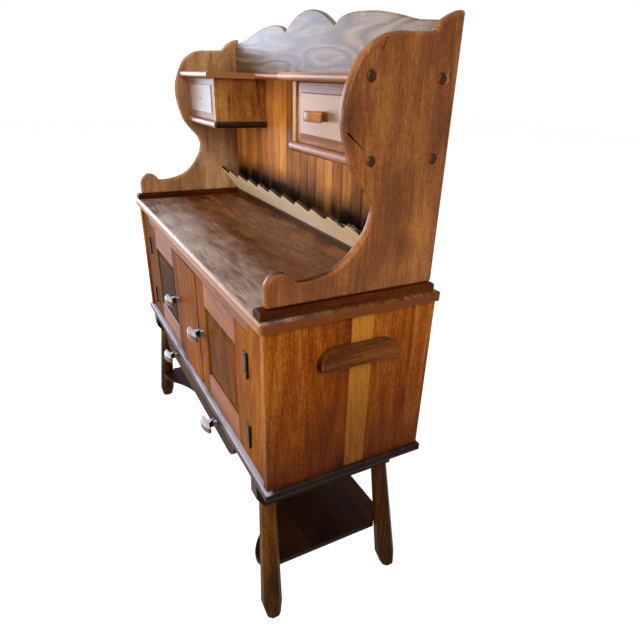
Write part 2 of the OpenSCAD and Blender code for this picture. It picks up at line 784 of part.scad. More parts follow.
// Right half of the crest's top edge, from the middle outwards
function crest_edge() = let (z = top_shelf_z, t = top_shelf_z + crest_rise,
        a = asin(crest_arc_half / crest_arc_r), h = crest_arc_half)
    concat(arc([0, t - crest_arc_r], crest_arc_r, 90, 90 - a),
        smooth([[h + 3, z + 117], [h + 18, z + 126], [h + 38, z + 133], [h + 86, z + 138],
                [h + 136, z + 137], [h + 196, z + 133], [h + 246, z + 126], [h + 291, z + 118],
                [h + 346, z + 107], [h + 381, z + 103.5], [h + 421, z + 100.5],
                [hutch_in_x, z + 99]]));

module crest_board() {
    edge = crest_edge();
    n = len(edge);
    z = top_shelf_z;
    color(brown) placed() outline_y(hutch_back - crest_t, hutch_back)
        polygon(concat([for (k = [n - 1 : -1 : 1]) [-edge[k][0], edge[k][1]]], edge,
            [[hutch_in_x, z], [-hutch_in_x, z]]));
}

// Plate rail, leaning forward over the back sill
rail_face = rail_rise / cos(rail_lean);
module plate_rail() {
    n = 12;
    peaks = floor(hutch_in_x / scallop_pitch);
    low = rail_face - scallop_depth / 2;
    step = scallop_pitch / n;
    count = floor(hutch_in_x / step);
    wave = [for (k = [-count : count]) [k * step, low + scallop_depth / 2 * cos(360 * k / n)]];
    end_h = low + scallop_depth / 2 * cos(360 * hutch_in_x / scallop_pitch);
    foot = rail_t / cos(rail_lean);
    color(pale) placed() intersection() {
        translate([0, wall_y - rail_foot_in, hutch_z]) rotate([90 + rail_lean, 0, 0])
            translate([0, 0, -rail_t]) linear_extrude(height = rail_t)
                polygon(concat([[hutch_in_x, -foot], [hutch_in_x, end_h]],
                    [for (k = [2 * count : -1 : 0]) wave[k]],
                    [[-hutch_in_x, end_h], [-hutch_in_x, -foot]]));
        span([-hutch_in_x, 0, hutch_z], [hutch_in_x, wall_y, top_shelf_z]);
    }
}

module box_side(side) {
    placed() on_side(side) span([box_side_x - box_side_t, upper_front_y, box_floor_z],
        [box_side_x, wall_y, shelf_under_z]);
}
module box_side_left() { color(gold) box_side(-1); }
module box_side_right() { color(gold) box_side(1); }

module box_bottom(side) {
    r = box_bottom_t / 2 - 1;
    x0 = box_side_x - box_side_t - box_bottom_side_over;
    y0 = upper_front_y - box_bottom_over;
    z0 = box_bottom_z;
    z1 = box_floor_z;
    placed() on_side(side) intersection() {
        rounded_board([x0, y0, z0], [hutch_in_x + 2 * r, wall_y + 2 * r, z1], r, r, r);
        span([x0 - cut, y0 - cut, z0 - cut], [hutch_in_x, wall_y, z1 + cut]);
    }
}
module box_bottom_left() { color(brown) box_bottom(-1); }
module box_bottom_right() { color(brown) box_bottom(1); }

// ---- hinges ----

// Three knuckles share a hinge's height; the frame holds the middle one
knuckle_h = (hinge_h - 2 * fit_gap) / 3;

module knuckle(z0, h) {
    translate([pin_x, pin_y, z0]) cylinder(r = knuckle_r, h = h, $fn = 64);
}
module pin_bore(z, r) {
    translate([pin_x, pin_y, z - hinge_h / 2 - cut]) cylinder(r = r, h = hinge_h + 2 * cut, $fn = 64);
}

// Leaf on the door's face with the two outer knuckles
module door_leaf(z) {
    low = z - hinge_h / 2;
    high = z + hinge_h / 2;
    clear_x = pin_x - knuckle_r - 0.4;
    difference() {
        union() {
            span([pin_x - knuckle_r - hinge_leaf_w + 3, face_y - hinge_leaf_t, low],
                 [clear_x, face_y, high]);
            for (z0 = [low, high - knuckle_h]) {
                knuckle(z0, knuckle_h);
                span([clear_x - cut, face_y - hinge_leaf_t, z0],
                     [pin_x - 1.5, face_y - 0.02, z0 + knuckle_h]);
            }
        }
        pin_bore(z, bore_r);
    }
}

// Leaf in the gap, on the stile's edge, with the middle knuckle
module frame_leaf(z) {
    low = z - hinge_h / 2;
    mid = low + knuckle_h + fit_gap;
    x0 = stile_inner_x - hinge_leaf_t;
    leaf_front = pin_y + knuckle_r + 0.4;
    difference() {
        union() {
            span([x0, leaf_front, low], [stile_inner_x, face_y + face_t - 3, low + hinge_h]);
            span([x0, pin_y + hinge_pin_r + 0.4, mid],
                 [stile_inner_x, leaf_front + cut, mid + knuckle_h]);
            knuckle(mid, knuckle_h);
        }
        pin_bore(z, bore_r);
    }
}

module frame_hinge_leaves() {
    color(iron) placed() for (side = [-1, 1]) on_side(side) for (z = hinge_zs) frame_leaf(z);
}

// Each pin has a small round head that rests on the top knuckle
module hinge_pins() {
    color(iron) placed() for (side = [-1, 1]) on_side(side) for (z = hinge_zs)
        translate([pin_x, pin_y, 0]) {
            translate([0, 0, z - hinge_h / 2 - 2]) cylinder(r = hinge_pin_r, h = hinge_h + 3, $fn = 64);
            translate([0, 0, z + hinge_h / 2 + fit_gap]) cylinder(r = knuckle_r - 0.5, h = 2.6, $fn = 64);
        }
}

// ---- doors ----

door_inner_x = centre_half + door_gap;
door_outer_x = stile_inner_x - door_gap;
opening_x0 = door_inner_x + lock_stile_w;
opening_x1 = door_outer_x - hinge_stile_w;
opening_z0 = door_z + door_bottom_rail_h;
opening_z1 = door_z + door_h - door_top_rail_h;
groove_y = face_y + (face_t - groove_w) / 2;
tongue_y0 = groove_y + fit_gap;
tongue_y1 = groove_y + groove_w - fit_gap;

module door_stiles(side) {
    placed() on_side(side) difference() {
        union() {
            span([door_inner_x, face_y, door_z], [opening_x0, face_y + face_t, door_z + door_h]);
            span([opening_x1, face_y, door_z], [door_outer_x, face_y + face_t, door_z + door_h]);
        }
        span([opening_x0 - groove_depth, groove_y, door_z - cut],
             [opening_x1 + groove_depth, groove_y + groove_w, door_z + door_h + cut]);
    }
}
module door_left_stiles() { color(brown) door_stiles(-1); }
module door_right_stiles() { color(brown) door_stiles(1); }

// One rail with a tongue at each end
module door_rail(z0, z1) {
    span([opening_x0, face_y, z0], [opening_x1, face_y + face_t, z1]);
    span([opening_x0 - groove_depth + tongue_gap, tongue_y0, z0],
         [opening_x1 + groove_depth - tongue_gap, tongue_y1, z1]);
}
module door_rails(side) {
    c = rail_chamfer;
    placed() on_side(side) difference() {
        union() {
            door_rail(door_z, opening_z0);
            door_rail(opening_z1, door_z + door_h);
        }
        span([opening_x0 - groove_depth, groove_y, opening_z0 - groove_depth],
             [opening_x1 + groove_depth, groove_y + groove_w, opening_z1 + groove_depth]);
        outline_x(opening_x0 - groove_depth - cut, opening_x1 + groove_depth + cut)
            polygon([[face_y - cut, opening_z0 - c - cut], [face_y + c + cut, opening_z0 + cut],
                     [face_y - cut, opening_z0 + cut]]);
    }
}
module door_left_rails() { color(brown) door_rails(-1); }
module door_right_rails() { color(brown) door_rails(1); }

module door_panel(side) {
    reach = groove_depth - 2 * tongue_gap;
    w = opening_x1 - opening_x0;
    h = opening_z1 - opening_z0;
    x = (opening_x0 + opening_x1) / 2;
    z = (opening_z0 + opening_z1) / 2;
    front = face_y + panel_inset;
    placed() on_side(side) union() {
        span([opening_x0 - reach, tongue_y0, opening_z0 - reach],
             [opening_x1 + reach, tongue_y1, opening_z1 + reach]);
        raised_panel(x, z, w - 2 * tongue_gap, h - 2 * tongue_gap, panel_border,
            front, tongue_y0 - 0.02, tongue_y1 - cut);
    }
}
module door_left_panel() { color(brown) door_panel(-1); }
module door_right_panel() { color(brown) door_panel(1); }

module door_pull(side) {
    placed() on_side(side) pull_at(door_inner_x + door_pull_in, face_y, door_z + door_pull_rise);
}
module door_left_pull() { color(brown) door_pull(-1); }
module door_right_pull() { color(brown) door_pull(1); }

module door_leaves(side) {
    placed() on_side(side) for (z = hinge_zs) door_leaf(z);
}
module door_left_hinge_leaves() { color(iron) door_leaves(-1); }
module door_right_hinge_leaves() { color(iron) door_leaves(1); }

// Three round screw heads on each door leaf
module door_screws(side) {
    x = pin_x - knuckle_r - hinge_leaf_w / 2;
    placed() on_side(side) for (z = hinge_zs) for (k = [-1 : 1])
        translate([x + (k == 0 ? 4 : -3), face_y - hinge_leaf_t, z + k * hinge_h * 0.34])
            rotate([90, 0, 0]) cylinder(r = hinge_screw_r, h = 0.9, $fn = 32);
}
module door_left_screws() { color(iron) door_screws(-1); }
module door_right_screws() { color(iron) door_screws(1); }

// ---- upper drawers ----

upper_x0 = box_side_x + upper_gap;
upper_x1 = hutch_in_x - upper_gap;
upper_z0 = box_floor_z + slide_gap;
upper_z1 = shelf_under_z - upper_gap;
upper_mid_x = (upper_x0 + upper_x1) / 2;
upper_mid_z = (upper_z0 + upper_z1) / 2;

module upper_front(side) {
    w = upper_x1 - upper_x0;
    h = upper_z1 - upper_z0;
    y = upper_front_y;
    placed() on_side(side) difference() {
        raised_panel(upper_mid_x, upper_mid_z, w, h, drawer_border, y, y + 5, y + drawer_front_t);
        translate([upper_mid_x, y - cut, upper_mid_z]) rotate([-90, 0, 0])
            cylinder(r = pull_hole_r, h = drawer_front_t + 2 * cut, $fn = 48);
    }
}
module upper_left_front() { color(brown) upper_front(-1); }
module upper_right_front() { color(brown) upper_front(1); }

// Sides, back and bottom of a drawer box as separate boards with thin glue lines
module drawer_box(x0, x1, y0, y1, z0, z1) {
    t = drawer_side_t;
    b = drawer_bottom_t;
    g = glue_line;
    span([x0, y0, z0], [x0 + t, y1, z1]);
    span([x1 - t, y0, z0], [x1, y1, z1]);
    span([x0 + t + g, y1 - t, z0], [x1 - t - g, y1, z1 - 6]);
    span([x0 + t + g, y0, z0 + 4], [x1 - t - g, y1 - t - g, z0 + 4 + b]);
}
module upper_box(side) {
    placed() on_side(side) drawer_box(upper_x0 + side_gap, upper_x1 - side_gap,
        upper_front_y + drawer_front_t, wall_y - 6, upper_z0, upper_z1 - 14);
}
module upper_left_box() { color(gold) upper_box(-1); }
module upper_right_box() { color(gold) upper_box(1); }

module upper_right_pull() {
    color(brown) placed() pull_at(upper_mid_x, upper_front_y, upper_mid_z);
}

// ---- lower drawer ----

low_box_z = low_front_z + low_box_rise;
low_box_top = low_front_top - 12;
glide_z = low_box_top - glide_h;
low_box_half = low_box_w / 2;
low_front_half = low_box_half + low_front_past;
low_box_front = low_front_y + drawer_front_t;

module low_drawer_front() {
    half = low_front_half;
    r = low_corner_r;
    z = low_front_z;
    color(brown) placed() outline_y(low_front_y, low_front_y + drawer_front_t) intersection() {
        translate([-half, z]) square([2 * half, low_front_h]);
        union() {
            translate([-half, z + r]) square([2 * half, low_front_h]);
            translate([-half + r, z]) square([2 * half - 2 * r, low_front_h]);
            for (s = [-1, 1]) translate([s * (half - r), z + r]) circle(r = r, $fn = 96);
        }
    }
}

module low_drawer_box() {
    color(gold) placed() {
        drawer_box(-low_box_half, low_box_half, low_box_front, low_box_front + low_box_d,
            low_box_z, low_box_top);
        for (side = [-1, 1]) on_side(side)
            span([low_box_half + glue_line, low_box_front + 2, glide_z],
                 [low_box_half + glide_w, low_box_front + low_box_d, low_box_top]);
    }
}

module low_drawer_pulls() {
    z = low_front_z + low_pull_rise;
    color(brown) placed() for (side = [-1, 1])
        pull_at(side * low_pull_span / 2, low_front_y, z);
}

// L-shaped runners under the base board, in which the drawer's strips slide
module drawer_runners() {
    x0 = low_box_half + 1;
    x1 = low_box_half + glide_w + 1;
    foot_top = glide_z - slide_gap;
    y0 = low_box_front + 2;
    y1 = low_box_front + low_box_d + 10;
    color(dark) placed() for (side = [-1, 1]) on_side(side) union() {
        span([x0, y0, foot_top - runner_t * 0.75], [x1 + runner_t, y1, foot_top]);
        span([x1, y0, foot_top - cut], [x1 + runner_t, y1, base_bottom]);
    }
}

case_side_left();
case_side_right();
case_back();
base_board();
counter_top();
end_stile_left();
end_stile_right();
centre_board();
top_rail();
door_stop();
inner_shelf();
shelf_cleats();
leg_batten_left();
leg_batten_right();
leg_front_left();
leg_front_right();
leg_back_left();
leg_back_right();
lower_shelf();
lift_handle_left();
lift_handle_right();
sill_left();
sill_right();
sill_back();
hutch_side_left();
hutch_side_right();
back_boards();
top_shelf();
crest_board();
side_plugs();
plate_rail();
box_side_left();
box_side_right();
box_bottom_left();
box_bottom_right();
drawer_runners();
frame_hinge_leaves();
hinge_pins();
door_left_stiles();
door_left_rails();
door_left_panel();
door_left_pull();
door_left_hinge_leaves();
door_left_screws();
door_right_stiles();
door_right_rails();
door_right_panel();
door_right_pull();
door_right_hinge_leaves();
door_right_screws();
upper_left_front();
upper_left_box();
upper_right_front();
upper_right_box();
upper_right_pull();
low_drawer_front();
low_drawer_box();
low_drawer_pulls();
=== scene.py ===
# %% [markdown]
# # A bakers cabinet, dressed for its photograph
# The cabinet was first built as exact solids. This lesson loads those solids, eases their
# sharp arrises, swaps the hand-shaped pieces (pulls and screw heads) for finer ones, and
# gives every piece a wood or iron finish that is worked out from real sizes in millimetres.
# Blender works in metres here, with +Z up and the doors facing -Y.

# %% Load the solids
import math
import bmesh
import bpy
from mathutils import Matrix, Vector


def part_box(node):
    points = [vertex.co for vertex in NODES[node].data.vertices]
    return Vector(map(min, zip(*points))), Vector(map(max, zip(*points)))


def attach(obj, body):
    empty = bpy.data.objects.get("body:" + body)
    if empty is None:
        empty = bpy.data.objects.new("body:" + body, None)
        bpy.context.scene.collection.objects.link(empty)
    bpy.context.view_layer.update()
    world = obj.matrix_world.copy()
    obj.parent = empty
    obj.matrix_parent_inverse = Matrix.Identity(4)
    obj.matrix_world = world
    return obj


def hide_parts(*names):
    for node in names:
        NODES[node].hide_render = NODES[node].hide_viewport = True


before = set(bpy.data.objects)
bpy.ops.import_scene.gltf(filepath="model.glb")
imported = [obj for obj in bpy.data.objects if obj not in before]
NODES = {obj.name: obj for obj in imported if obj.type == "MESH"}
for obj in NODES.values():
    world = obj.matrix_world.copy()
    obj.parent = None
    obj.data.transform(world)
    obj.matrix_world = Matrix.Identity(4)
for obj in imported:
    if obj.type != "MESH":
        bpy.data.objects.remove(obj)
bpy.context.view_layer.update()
MM = 0.001
print("solids loaded:", len(NODES))

# %% [markdown]
# ## The camera
# The photograph was taken close to the right front corner, from about the height of the
# hutch. The place and the angles below come from fitting straight edges of the cabinet. A
# small lens shift puts the middle of the lens where the fit found it, because the picture
# had been cropped.

# %% Camera
CAMERA_PLACE = Vector((1.5177, -0.5501, 1.3513))
YAW, PITCH, ROLL = 1.0585, 0.4701, 0.0360
LENS_MM, SENSOR_MM = 28.717, 36.0
SHIFT_ACROSS, SHIFT_UP = -0.0078, 0.0324
forward = Vector((-math.sin(YAW) * math.cos(PITCH), math.cos(YAW) * math.cos(PITCH), -math.sin(PITCH)))
level_right = forward.cross(Vector((0, 0, 1))).normalized()
level_up = level_right.cross(forward)
right = math.cos(ROLL) * level_right + math.sin(ROLL) * level_up
up = math.cos(ROLL) * level_up - math.sin(ROLL) * level_right
camera_data = bpy.data.cameras.new("camera")
camera_data.lens = LENS_MM
camera_data.sensor_width = SENSOR_MM
camera_data.shift_x = SHIFT_ACROSS
camera_data.shift_y = SHIFT_UP
camera = bpy.data.objects.new("camera", camera_data)
camera.matrix_world = Matrix.Translation(CAMERA_PLACE) @ Matrix((right, up, -forward)).transposed().to_4x4()
bpy.context.scene.collection.objects.link(camera)
bpy.context.scene.camera = camera
bpy.context.scene.view_settings.view_transform = "Standard"
print("camera at", tuple(round(v, 3) for v in camera.location), "lens", camera_data.lens)

# %% [markdown]
# ## Two small tools for materials
# Colours are given as sRGB hex values, but Blender mixes light in linear values, so
# one function turns the first into the second. Another adds a shader node, sets its options
# and fills its inputs, either with a value or with a link from an earlier node, and hands
# back the output that the next node needs.

# %% Colour and node helpers
def srgb(code):
    parts = [int(code[i:i + 2], 16) / 255 for i in (1, 3, 5)]
    return tuple(c / 12.92 if c <= 0.04045 else ((c + 0.055) / 1.055) ** 2.4 for c in parts) + (1.0,)


def add(tree, kind, inputs, out=0, **settings):
    made = tree.nodes.new(kind)
    for name, value in settings.items():
        setattr(made, name, value)
    for key, value in inputs.items():
        if isinstance(value, bpy.types.NodeSocket):
            tree.links.new(value, made.inputs[key])
        else:
            made.inputs[key].default_value = value
    return made.outputs[out] if made.outputs else made


print("brown as linear light:", [round(v, 3) for v in srgb("#7a4524")])

# %% [markdown]
# ## The studio
# The cabinet stands on a plain white floor. Camera and gloss rays see that floor and the
# world as white, while the lamps are what light the wood. The floor keeps a matt part, so
# the cabinet still lays a soft shadow on it.

# %% Which rays see white
def bare_tree(owner):
    owner.use_nodes = True
    owner.node_tree.nodes.clear()
    return owner.node_tree


def seen_directly(t):
    eye = add(t, "ShaderNodeLightPath", {}, out="Is Camera Ray").node
    either = add(t, "ShaderNodeMath", {0: eye.outputs["Is Camera Ray"], 1: eye.outputs["Is Glossy Ray"]},
                 operation="MAXIMUM")
    return add(t, "ShaderNodeMath", {0: either, 1: eye.outputs["Is Transmission Ray"]},
               operation="MAXIMUM")


print("camera, gloss and glass rays will see the white studio")

# %% Floor and world
FLOOR_HALF = 20.0
FLOOR_GREY, FLOOR_GLOW, AMBIENT = 0.5, 0.86, 0.30
corners = [(x * FLOOR_HALF, y * FLOOR_HALF, 0) for x, y in ((-1, -1), (1, -1), (1, 1), (-1, 1))]
floor_mesh = bpy.data.meshes.new("floor")
floor_mesh.from_pydata(corners, [], [(0, 1, 2, 3)])
floor = bpy.data.objects.new("floor", floor_mesh)
bpy.context.scene.collection.objects.link(floor)

floor_paint = bpy.data.materials.new("white_floor")
t = bare_tree(floor_paint)
matt = add(t, "ShaderNodeBsdfDiffuse", {"Color": (FLOOR_GREY, FLOOR_GREY, FLOOR_GREY, 1)})
glow = add(t, "ShaderNodeEmission", {"Color": (1, 1, 1, 1), "Strength": FLOOR_GLOW})
lit = add(t, "ShaderNodeAddShader", {0: matt, 1: glow})
surface = add(t, "ShaderNodeMixShader", {0: seen_directly(t), 1: matt, 2: lit})
add(t, "ShaderNodeOutputMaterial", {"Surface": surface})
floor_mesh.materials.append(floor_paint)

world = bpy.data.worlds.new("studio")
bpy.context.scene.world = world
t = bare_tree(world)
white = add(t, "ShaderNodeBackground", {"Color": (1, 1, 1, 1), "Strength": 1.0})
ambient = add(t, "ShaderNodeBackground", {"Color": srgb("#eef1f6"), "Strength": AMBIENT})
seen = add(t, "ShaderNodeMixShader", {0: seen_directly(t), 1: ambient, 2: white})
add(t, "ShaderNodeOutputWorld", {"Surface": seen})
print("floor and world ready")

# %% [markdown]
# ## The lamps
# The real cabinet stood beside a bright window on its left, which leaves cool sheen on the
# crest, the drawer fronts and the counter, and a thin bright line along each rounded front
# edge. A warm soft key from the viewer's side shows the colour of the right end. A low wide
# lamp in front reaches under the top shelf, so that the back boards and the plate rail
# don't sink into shade.

# %% Lamps
def soft_light(name, place, aim, width, height, power, colour):
    data = bpy.data.lights.new(name, "AREA")
    data.shape = "RECTANGLE"
    data.size, data.size_y = width, height
    data.energy = power
    data.color = srgb(colour)[:3]
    lamp = bpy.data.objects.new(name, data)
    lamp.location = place
    lamp.rotation_euler = (Vector(aim) - Vector(place)).to_track_quat("-Z", "Y").to_euler()
    lamp.visible_camera = False
    bpy.context.scene.collection.objects.link(lamp)
    print(name, "at", place, "power", power)


soft_light("window", (-3.3, -1.3, 1.55), (0.0, -0.1, 1.0), 2.4, 1.7, 120, "#d9e6ff")
soft_light("key", (3.4, -1.4, 3.0), (0.2, 0.0, 0.8), 2.4, 2.4, 88, "#fff1dd")
soft_light("top", (0.2, -1.6, 4.2), (0.0, 0.0, 0.9), 3.0, 2.0, 50, "#ffffff")
soft_light("front", (0.2, -3.1, 1.20), (0.0, 0.1, 1.05), 2.4, 0.8, 44, "#fff0e0")

# %% [markdown]
# ## Wood under varnish
# Every wooden piece is a stained board under old satin varnish. The pattern is built from
# what a sawn board shows: slow clouds of stain, growth rings that the saw cuts into long
# flames, fibres a few millimetres apart, and short dark pores. Real pores are finer than
# one pixel, so they are drawn 1.6 mm wide, as coarse as they need to be to show. All of it
# is stretched along the grain.

# %% Noise in real millimetres
AXES = {"X": 0, "Y": 1, "Z": 2}


def drawn_out(t, place, grain, share, size_mm, detail, rough):
    """Noise whose features are size_mm across the grain and size_mm / share along it."""
    scale = [1 / (size_mm * MM)] * 3
    scale[AXES[grain]] *= share
    space = add(t, "ShaderNodeVectorMath", {0: place, 1: scale}, operation="MULTIPLY")
    return add(t, "ShaderNodeTexNoise", {"Vector": space, "Scale": 1.0, "Detail": detail,
                                         "Roughness": rough})


print("noise is scaled so that a feature has its real size")

# %% Sums and swings
def sum_of(t, *values):
    total = values[0]
    for value in values[1:]:
        total = add(t, "ShaderNodeMath", {0: total, 1: value})
    return total


def centred(t, value, depth):
    """A noise value turned into a swing of depth about zero."""
    return add(t, "ShaderNodeMath", {0: value, 1: depth, 2: -depth / 2}, operation="MULTIPLY_ADD")


print("a swing of 0.5 moves the stain half way from dark to light")

# %% [markdown]
# ## Boards that are glued side by side
# A wide panel is glued from several boards, and each took the stain in its own way. So a
# point first finds the number of its board, either from a list of glue joints or from one
# even pitch. That number shifts the pattern, so that no figure runs across a joint, and
# picks a tone, either from a list or by chance.

# %% Which board a point lies on
def board_number(t, along, joints):
    """How many glue joints lie below this point, counted from one side of the panel."""
    number = add(t, "ShaderNodeMath", {0: along, 1: joints[0]}, operation="GREATER_THAN")
    for joint in joints[1:]:
        past = add(t, "ShaderNodeMath", {0: along, 1: joint}, operation="GREATER_THAN")
        number = add(t, "ShaderNodeMath", {0: number, 1: past})
    return number


def board_tone(t, number, tones, spread):
    """Each board's own tone: from a list, or else by chance within spread."""
    if not tones:
        chance = add(t, "ShaderNodeTexWhiteNoise", {"W": number}, noise_dimensions="1D")
        return add(t, "ShaderNodeMath", {0: chance, 1: 2 * spread, 2: -spread}, operation="MULTIPLY_ADD")
    share = 1 / len(tones)
    place = add(t, "ShaderNodeMath", {0: number, 1: share, 2: share / 2}, operation="MULTIPLY_ADD")
    grey = add(t, "ShaderNodeValToRGB", {0: place})
    steps = grey.node.color_ramp
    steps.interpolation = "CONSTANT"
    steps.elements.remove(steps.elements[-1])
    for k, value in enumerate(tones):
        stop = steps.elements.new(k / len(tones)) if k else steps.elements[0]
        stop.position = k / len(tones)
        stop.color = (0.5 + value / 2,) * 3 + (1.0,)
    return add(t, "ShaderNodeMath", {0: grey, 1: 2.0, 2: -1.0}, operation="MULTIPLY_ADD")


print("boards are told apart by joints or by pitch")

# %% Give each board its own wood
PIECE_SHIFT, BOARD_SHIFT = 7.3, 3.71
COUNT_FROM = 40.5


def on_own_board(t, place, across, joints, tones, pitch_mm, spread, seed):
    """The place moved to this board's own stretch of the pattern, and the board's tone."""
    own = add(t, "ShaderNodeObjectInfo", {}, out="Random")
    start = add(t, "ShaderNodeMath", {0: own, 1: PIECE_SHIFT, 2: seed}, operation="MULTIPLY_ADD")
    tone = None
    if joints or pitch_mm:
        split = add(t, "ShaderNodeSeparateXYZ", {0: place}).node.outputs[AXES[across]]
        if joints:
            number = board_number(t, split, joints)
        else:
            number = add(t, "ShaderNodeMath", {0: split, 1: 1 / (pitch_mm * MM), 2: COUNT_FROM},
                         operation="MULTIPLY_ADD")
            number = add(t, "ShaderNodeMath", {0: number}, operation="FLOOR")
        start = add(t, "ShaderNodeMath", {0: number, 1: BOARD_SHIFT, 2: start}, operation="MULTIPLY_ADD")
        tone = board_tone(t, number, tones, spread)
    offset = add(t, "ShaderNodeCombineXYZ", {0: start, 1: start, 2: start})
    return add(t, "ShaderNodeVectorMath", {0: place, 1: offset}), tone


print("each board is moved", BOARD_SHIFT, "m along the pattern")

# %% [markdown]
# ## Marks that depend on where a surface is and how it faces
# Some marks follow the shape, not the grain, and each has a small function of its own
# here. Painted shade darkens a surface below a given height and thins out upwards. A face
# that looks to the front takes another colour and its bevelled border doesn't: painted sheen
# on the upper drawers, worn golden wood on the counter's edge. Tops take painted light and
# shade: sheen on the counter and base board, highlights on the pulls, shade on the plate
# rail's waved edge. End grain drinks the stain and turns nearly black. The arrises are
# rubbed through to paler wood; a Bevel node finds them, since its rounded normal differs
# from the true one only near an edge.

# %% Painted shade low down, and front faces with painted sheen and worn wood
# Painted shade: below a given height the colour darkens, fully at one height and not at all at another.
def shaded_low_down(t, colour, place, clouds, fade):
    full_at, none_at, amount, code = fade
    level = add(t, "ShaderNodeSeparateXYZ", {0: place}, out=2)
    low_shade = add(t, "ShaderNodeMapRange", {0: level, 1: full_at, 2: none_at, 3: 2 * amount, 4: 0.0})
    low_shade = add(t, "ShaderNodeMath", {0: low_shade, 1: clouds}, operation="MULTIPLY", use_clamp=True)
    return add(t, "ShaderNodeMix", {0: low_shade, 6: colour, 7: srgb(code)}, out=2, data_type="RGBA")


# Front faces take another colour: painted sheen on the upper drawers, worn golden wood on the counter's
# front edge.
def front_wear_and_sheen(t, colour, facing, front_face):
    none_at, full_at, amount, code = front_face
    ahead = add(t, "ShaderNodeSeparateXYZ", {0: facing}, out=1)
    ahead = add(t, "ShaderNodeMath", {0: ahead}, operation="ABSOLUTE")
    ahead = add(t, "ShaderNodeMapRange", {0: ahead, 1: none_at, 2: full_at, 3: 0.0, 4: amount})
    return add(t, "ShaderNodeMix", {0: ahead, 6: colour, 7: srgb(code)}, out=2, data_type="RGBA")


print("soil and bleached fronts ready")

# %% Painted light and shade on tops
TOP_FROM, TOP_FULL = 0.4, 0.95
PATCH_FROM, PATCH_FULL = 0.7, 1.3


def painted_light_on_tops(t, colour, place, facing, clouds, fibres, painted_top):
    """Painted light and shade on tops: another colour, in patches, fully at one y and not at all at another.
    """
    full_at, none_at, amount, code = painted_top
    front = add(t, "ShaderNodeSeparateXYZ", {0: place}, out=1)
    upward = add(t, "ShaderNodeSeparateXYZ", {0: facing}, out=2)
    upward = add(t, "ShaderNodeMapRange", {0: upward, 1: TOP_FROM, 2: TOP_FULL, 3: 0.0, 4: 1.0})
    near = add(t, "ShaderNodeMapRange", {0: front, 1: full_at, 2: none_at, 3: 1.0, 4: 0.0})
    patches = add(t, "ShaderNodeMapRange",
                  {0: sum_of(t, fibres, clouds), 1: PATCH_FROM, 2: PATCH_FULL, 3: 0.0, 4: amount})
    top_paint = add(t, "ShaderNodeMath", {0: near, 1: upward}, operation="MULTIPLY")
    top_paint = add(t, "ShaderNodeMath", {0: top_paint, 1: patches}, operation="MULTIPLY", use_clamp=True)
    return add(t, "ShaderNodeMix", {0: top_paint, 6: colour, 7: srgb(code)}, out=2, data_type="RGBA")


print("painted light on tops ready")

# %% End grain and worn arrises
END_BLEND, END_COVER = 0.28, 0.94
ARRIS_MM, ARRIS_NONE, ARRIS_FULL = 5, 0.985, 0.80


def end_grain(t, colour, facing, grain, end, end_from):
    along = add(t, "ShaderNodeSeparateXYZ", {0: facing}).node.outputs[AXES[grain]]
    along = add(t, "ShaderNodeMath", {0: along}, operation="ABSOLUTE")
    cut_end = add(t, "ShaderNodeMapRange",
                  {0: along, 1: end_from, 2: end_from + END_BLEND, 3: 0.0, 4: END_COVER})
    return add(t, "ShaderNodeMix", {0: cut_end, 6: colour, 7: srgb(end)}, out=2, data_type="RGBA")


def worn_arris(t, colour, clouds, wear, wear_colour):
    rounded = add(t, "ShaderNodeBevel", {"Radius": ARRIS_MM * MM}, samples=4)
    true = add(t, "ShaderNodeNewGeometry", {}, out="True Normal")
    match = add(t, "ShaderNodeVectorMath", {0: rounded, 1: true}, out="Value", operation="DOT_PRODUCT")
    edge = add(t, "ShaderNodeMapRange", {0: match, 1: ARRIS_NONE, 2: ARRIS_FULL, 3: 0.0, 4: 2 * wear})
    rubbed = add(t, "ShaderNodeMath", {0: edge, 1: clouds}, operation="MULTIPLY", use_clamp=True)
    return add(t, "ShaderNodeMix", {0: rubbed, 6: colour, 7: srgb(wear_colour)}, out=2, data_type="RGBA")


print("an arris is rubbed up to", ARRIS_MM, "mm in")

# %% [markdown]
# ## The wood finish
# The finish itself is one function, because every board on the cabinet differs only in its
# colours, its grain direction, its marks and how far the varnish has dulled. The pattern
# ends as one number from dark to light, and a colour ramp turns it into stain. The same
# rings, fibres and pores raise a very low relief, which breaks up the shine as real grain
# does. Varnish and wood both have an IOR near 1.5.

# %% Mix a wood
RING_LENGTH, RING_TURNS = 0.14, 11.0
FIBRE_MM, PORE_MM, PORE_DARK = 2.6, 1.6, 0.5
DARK_AT, MID_AT, LIGHT_AT = 0.08, 0.50, 0.95
RELIEF_MM, WOOD_IOR, COAT_ROUGH = 0.3, 1.5, 0.16


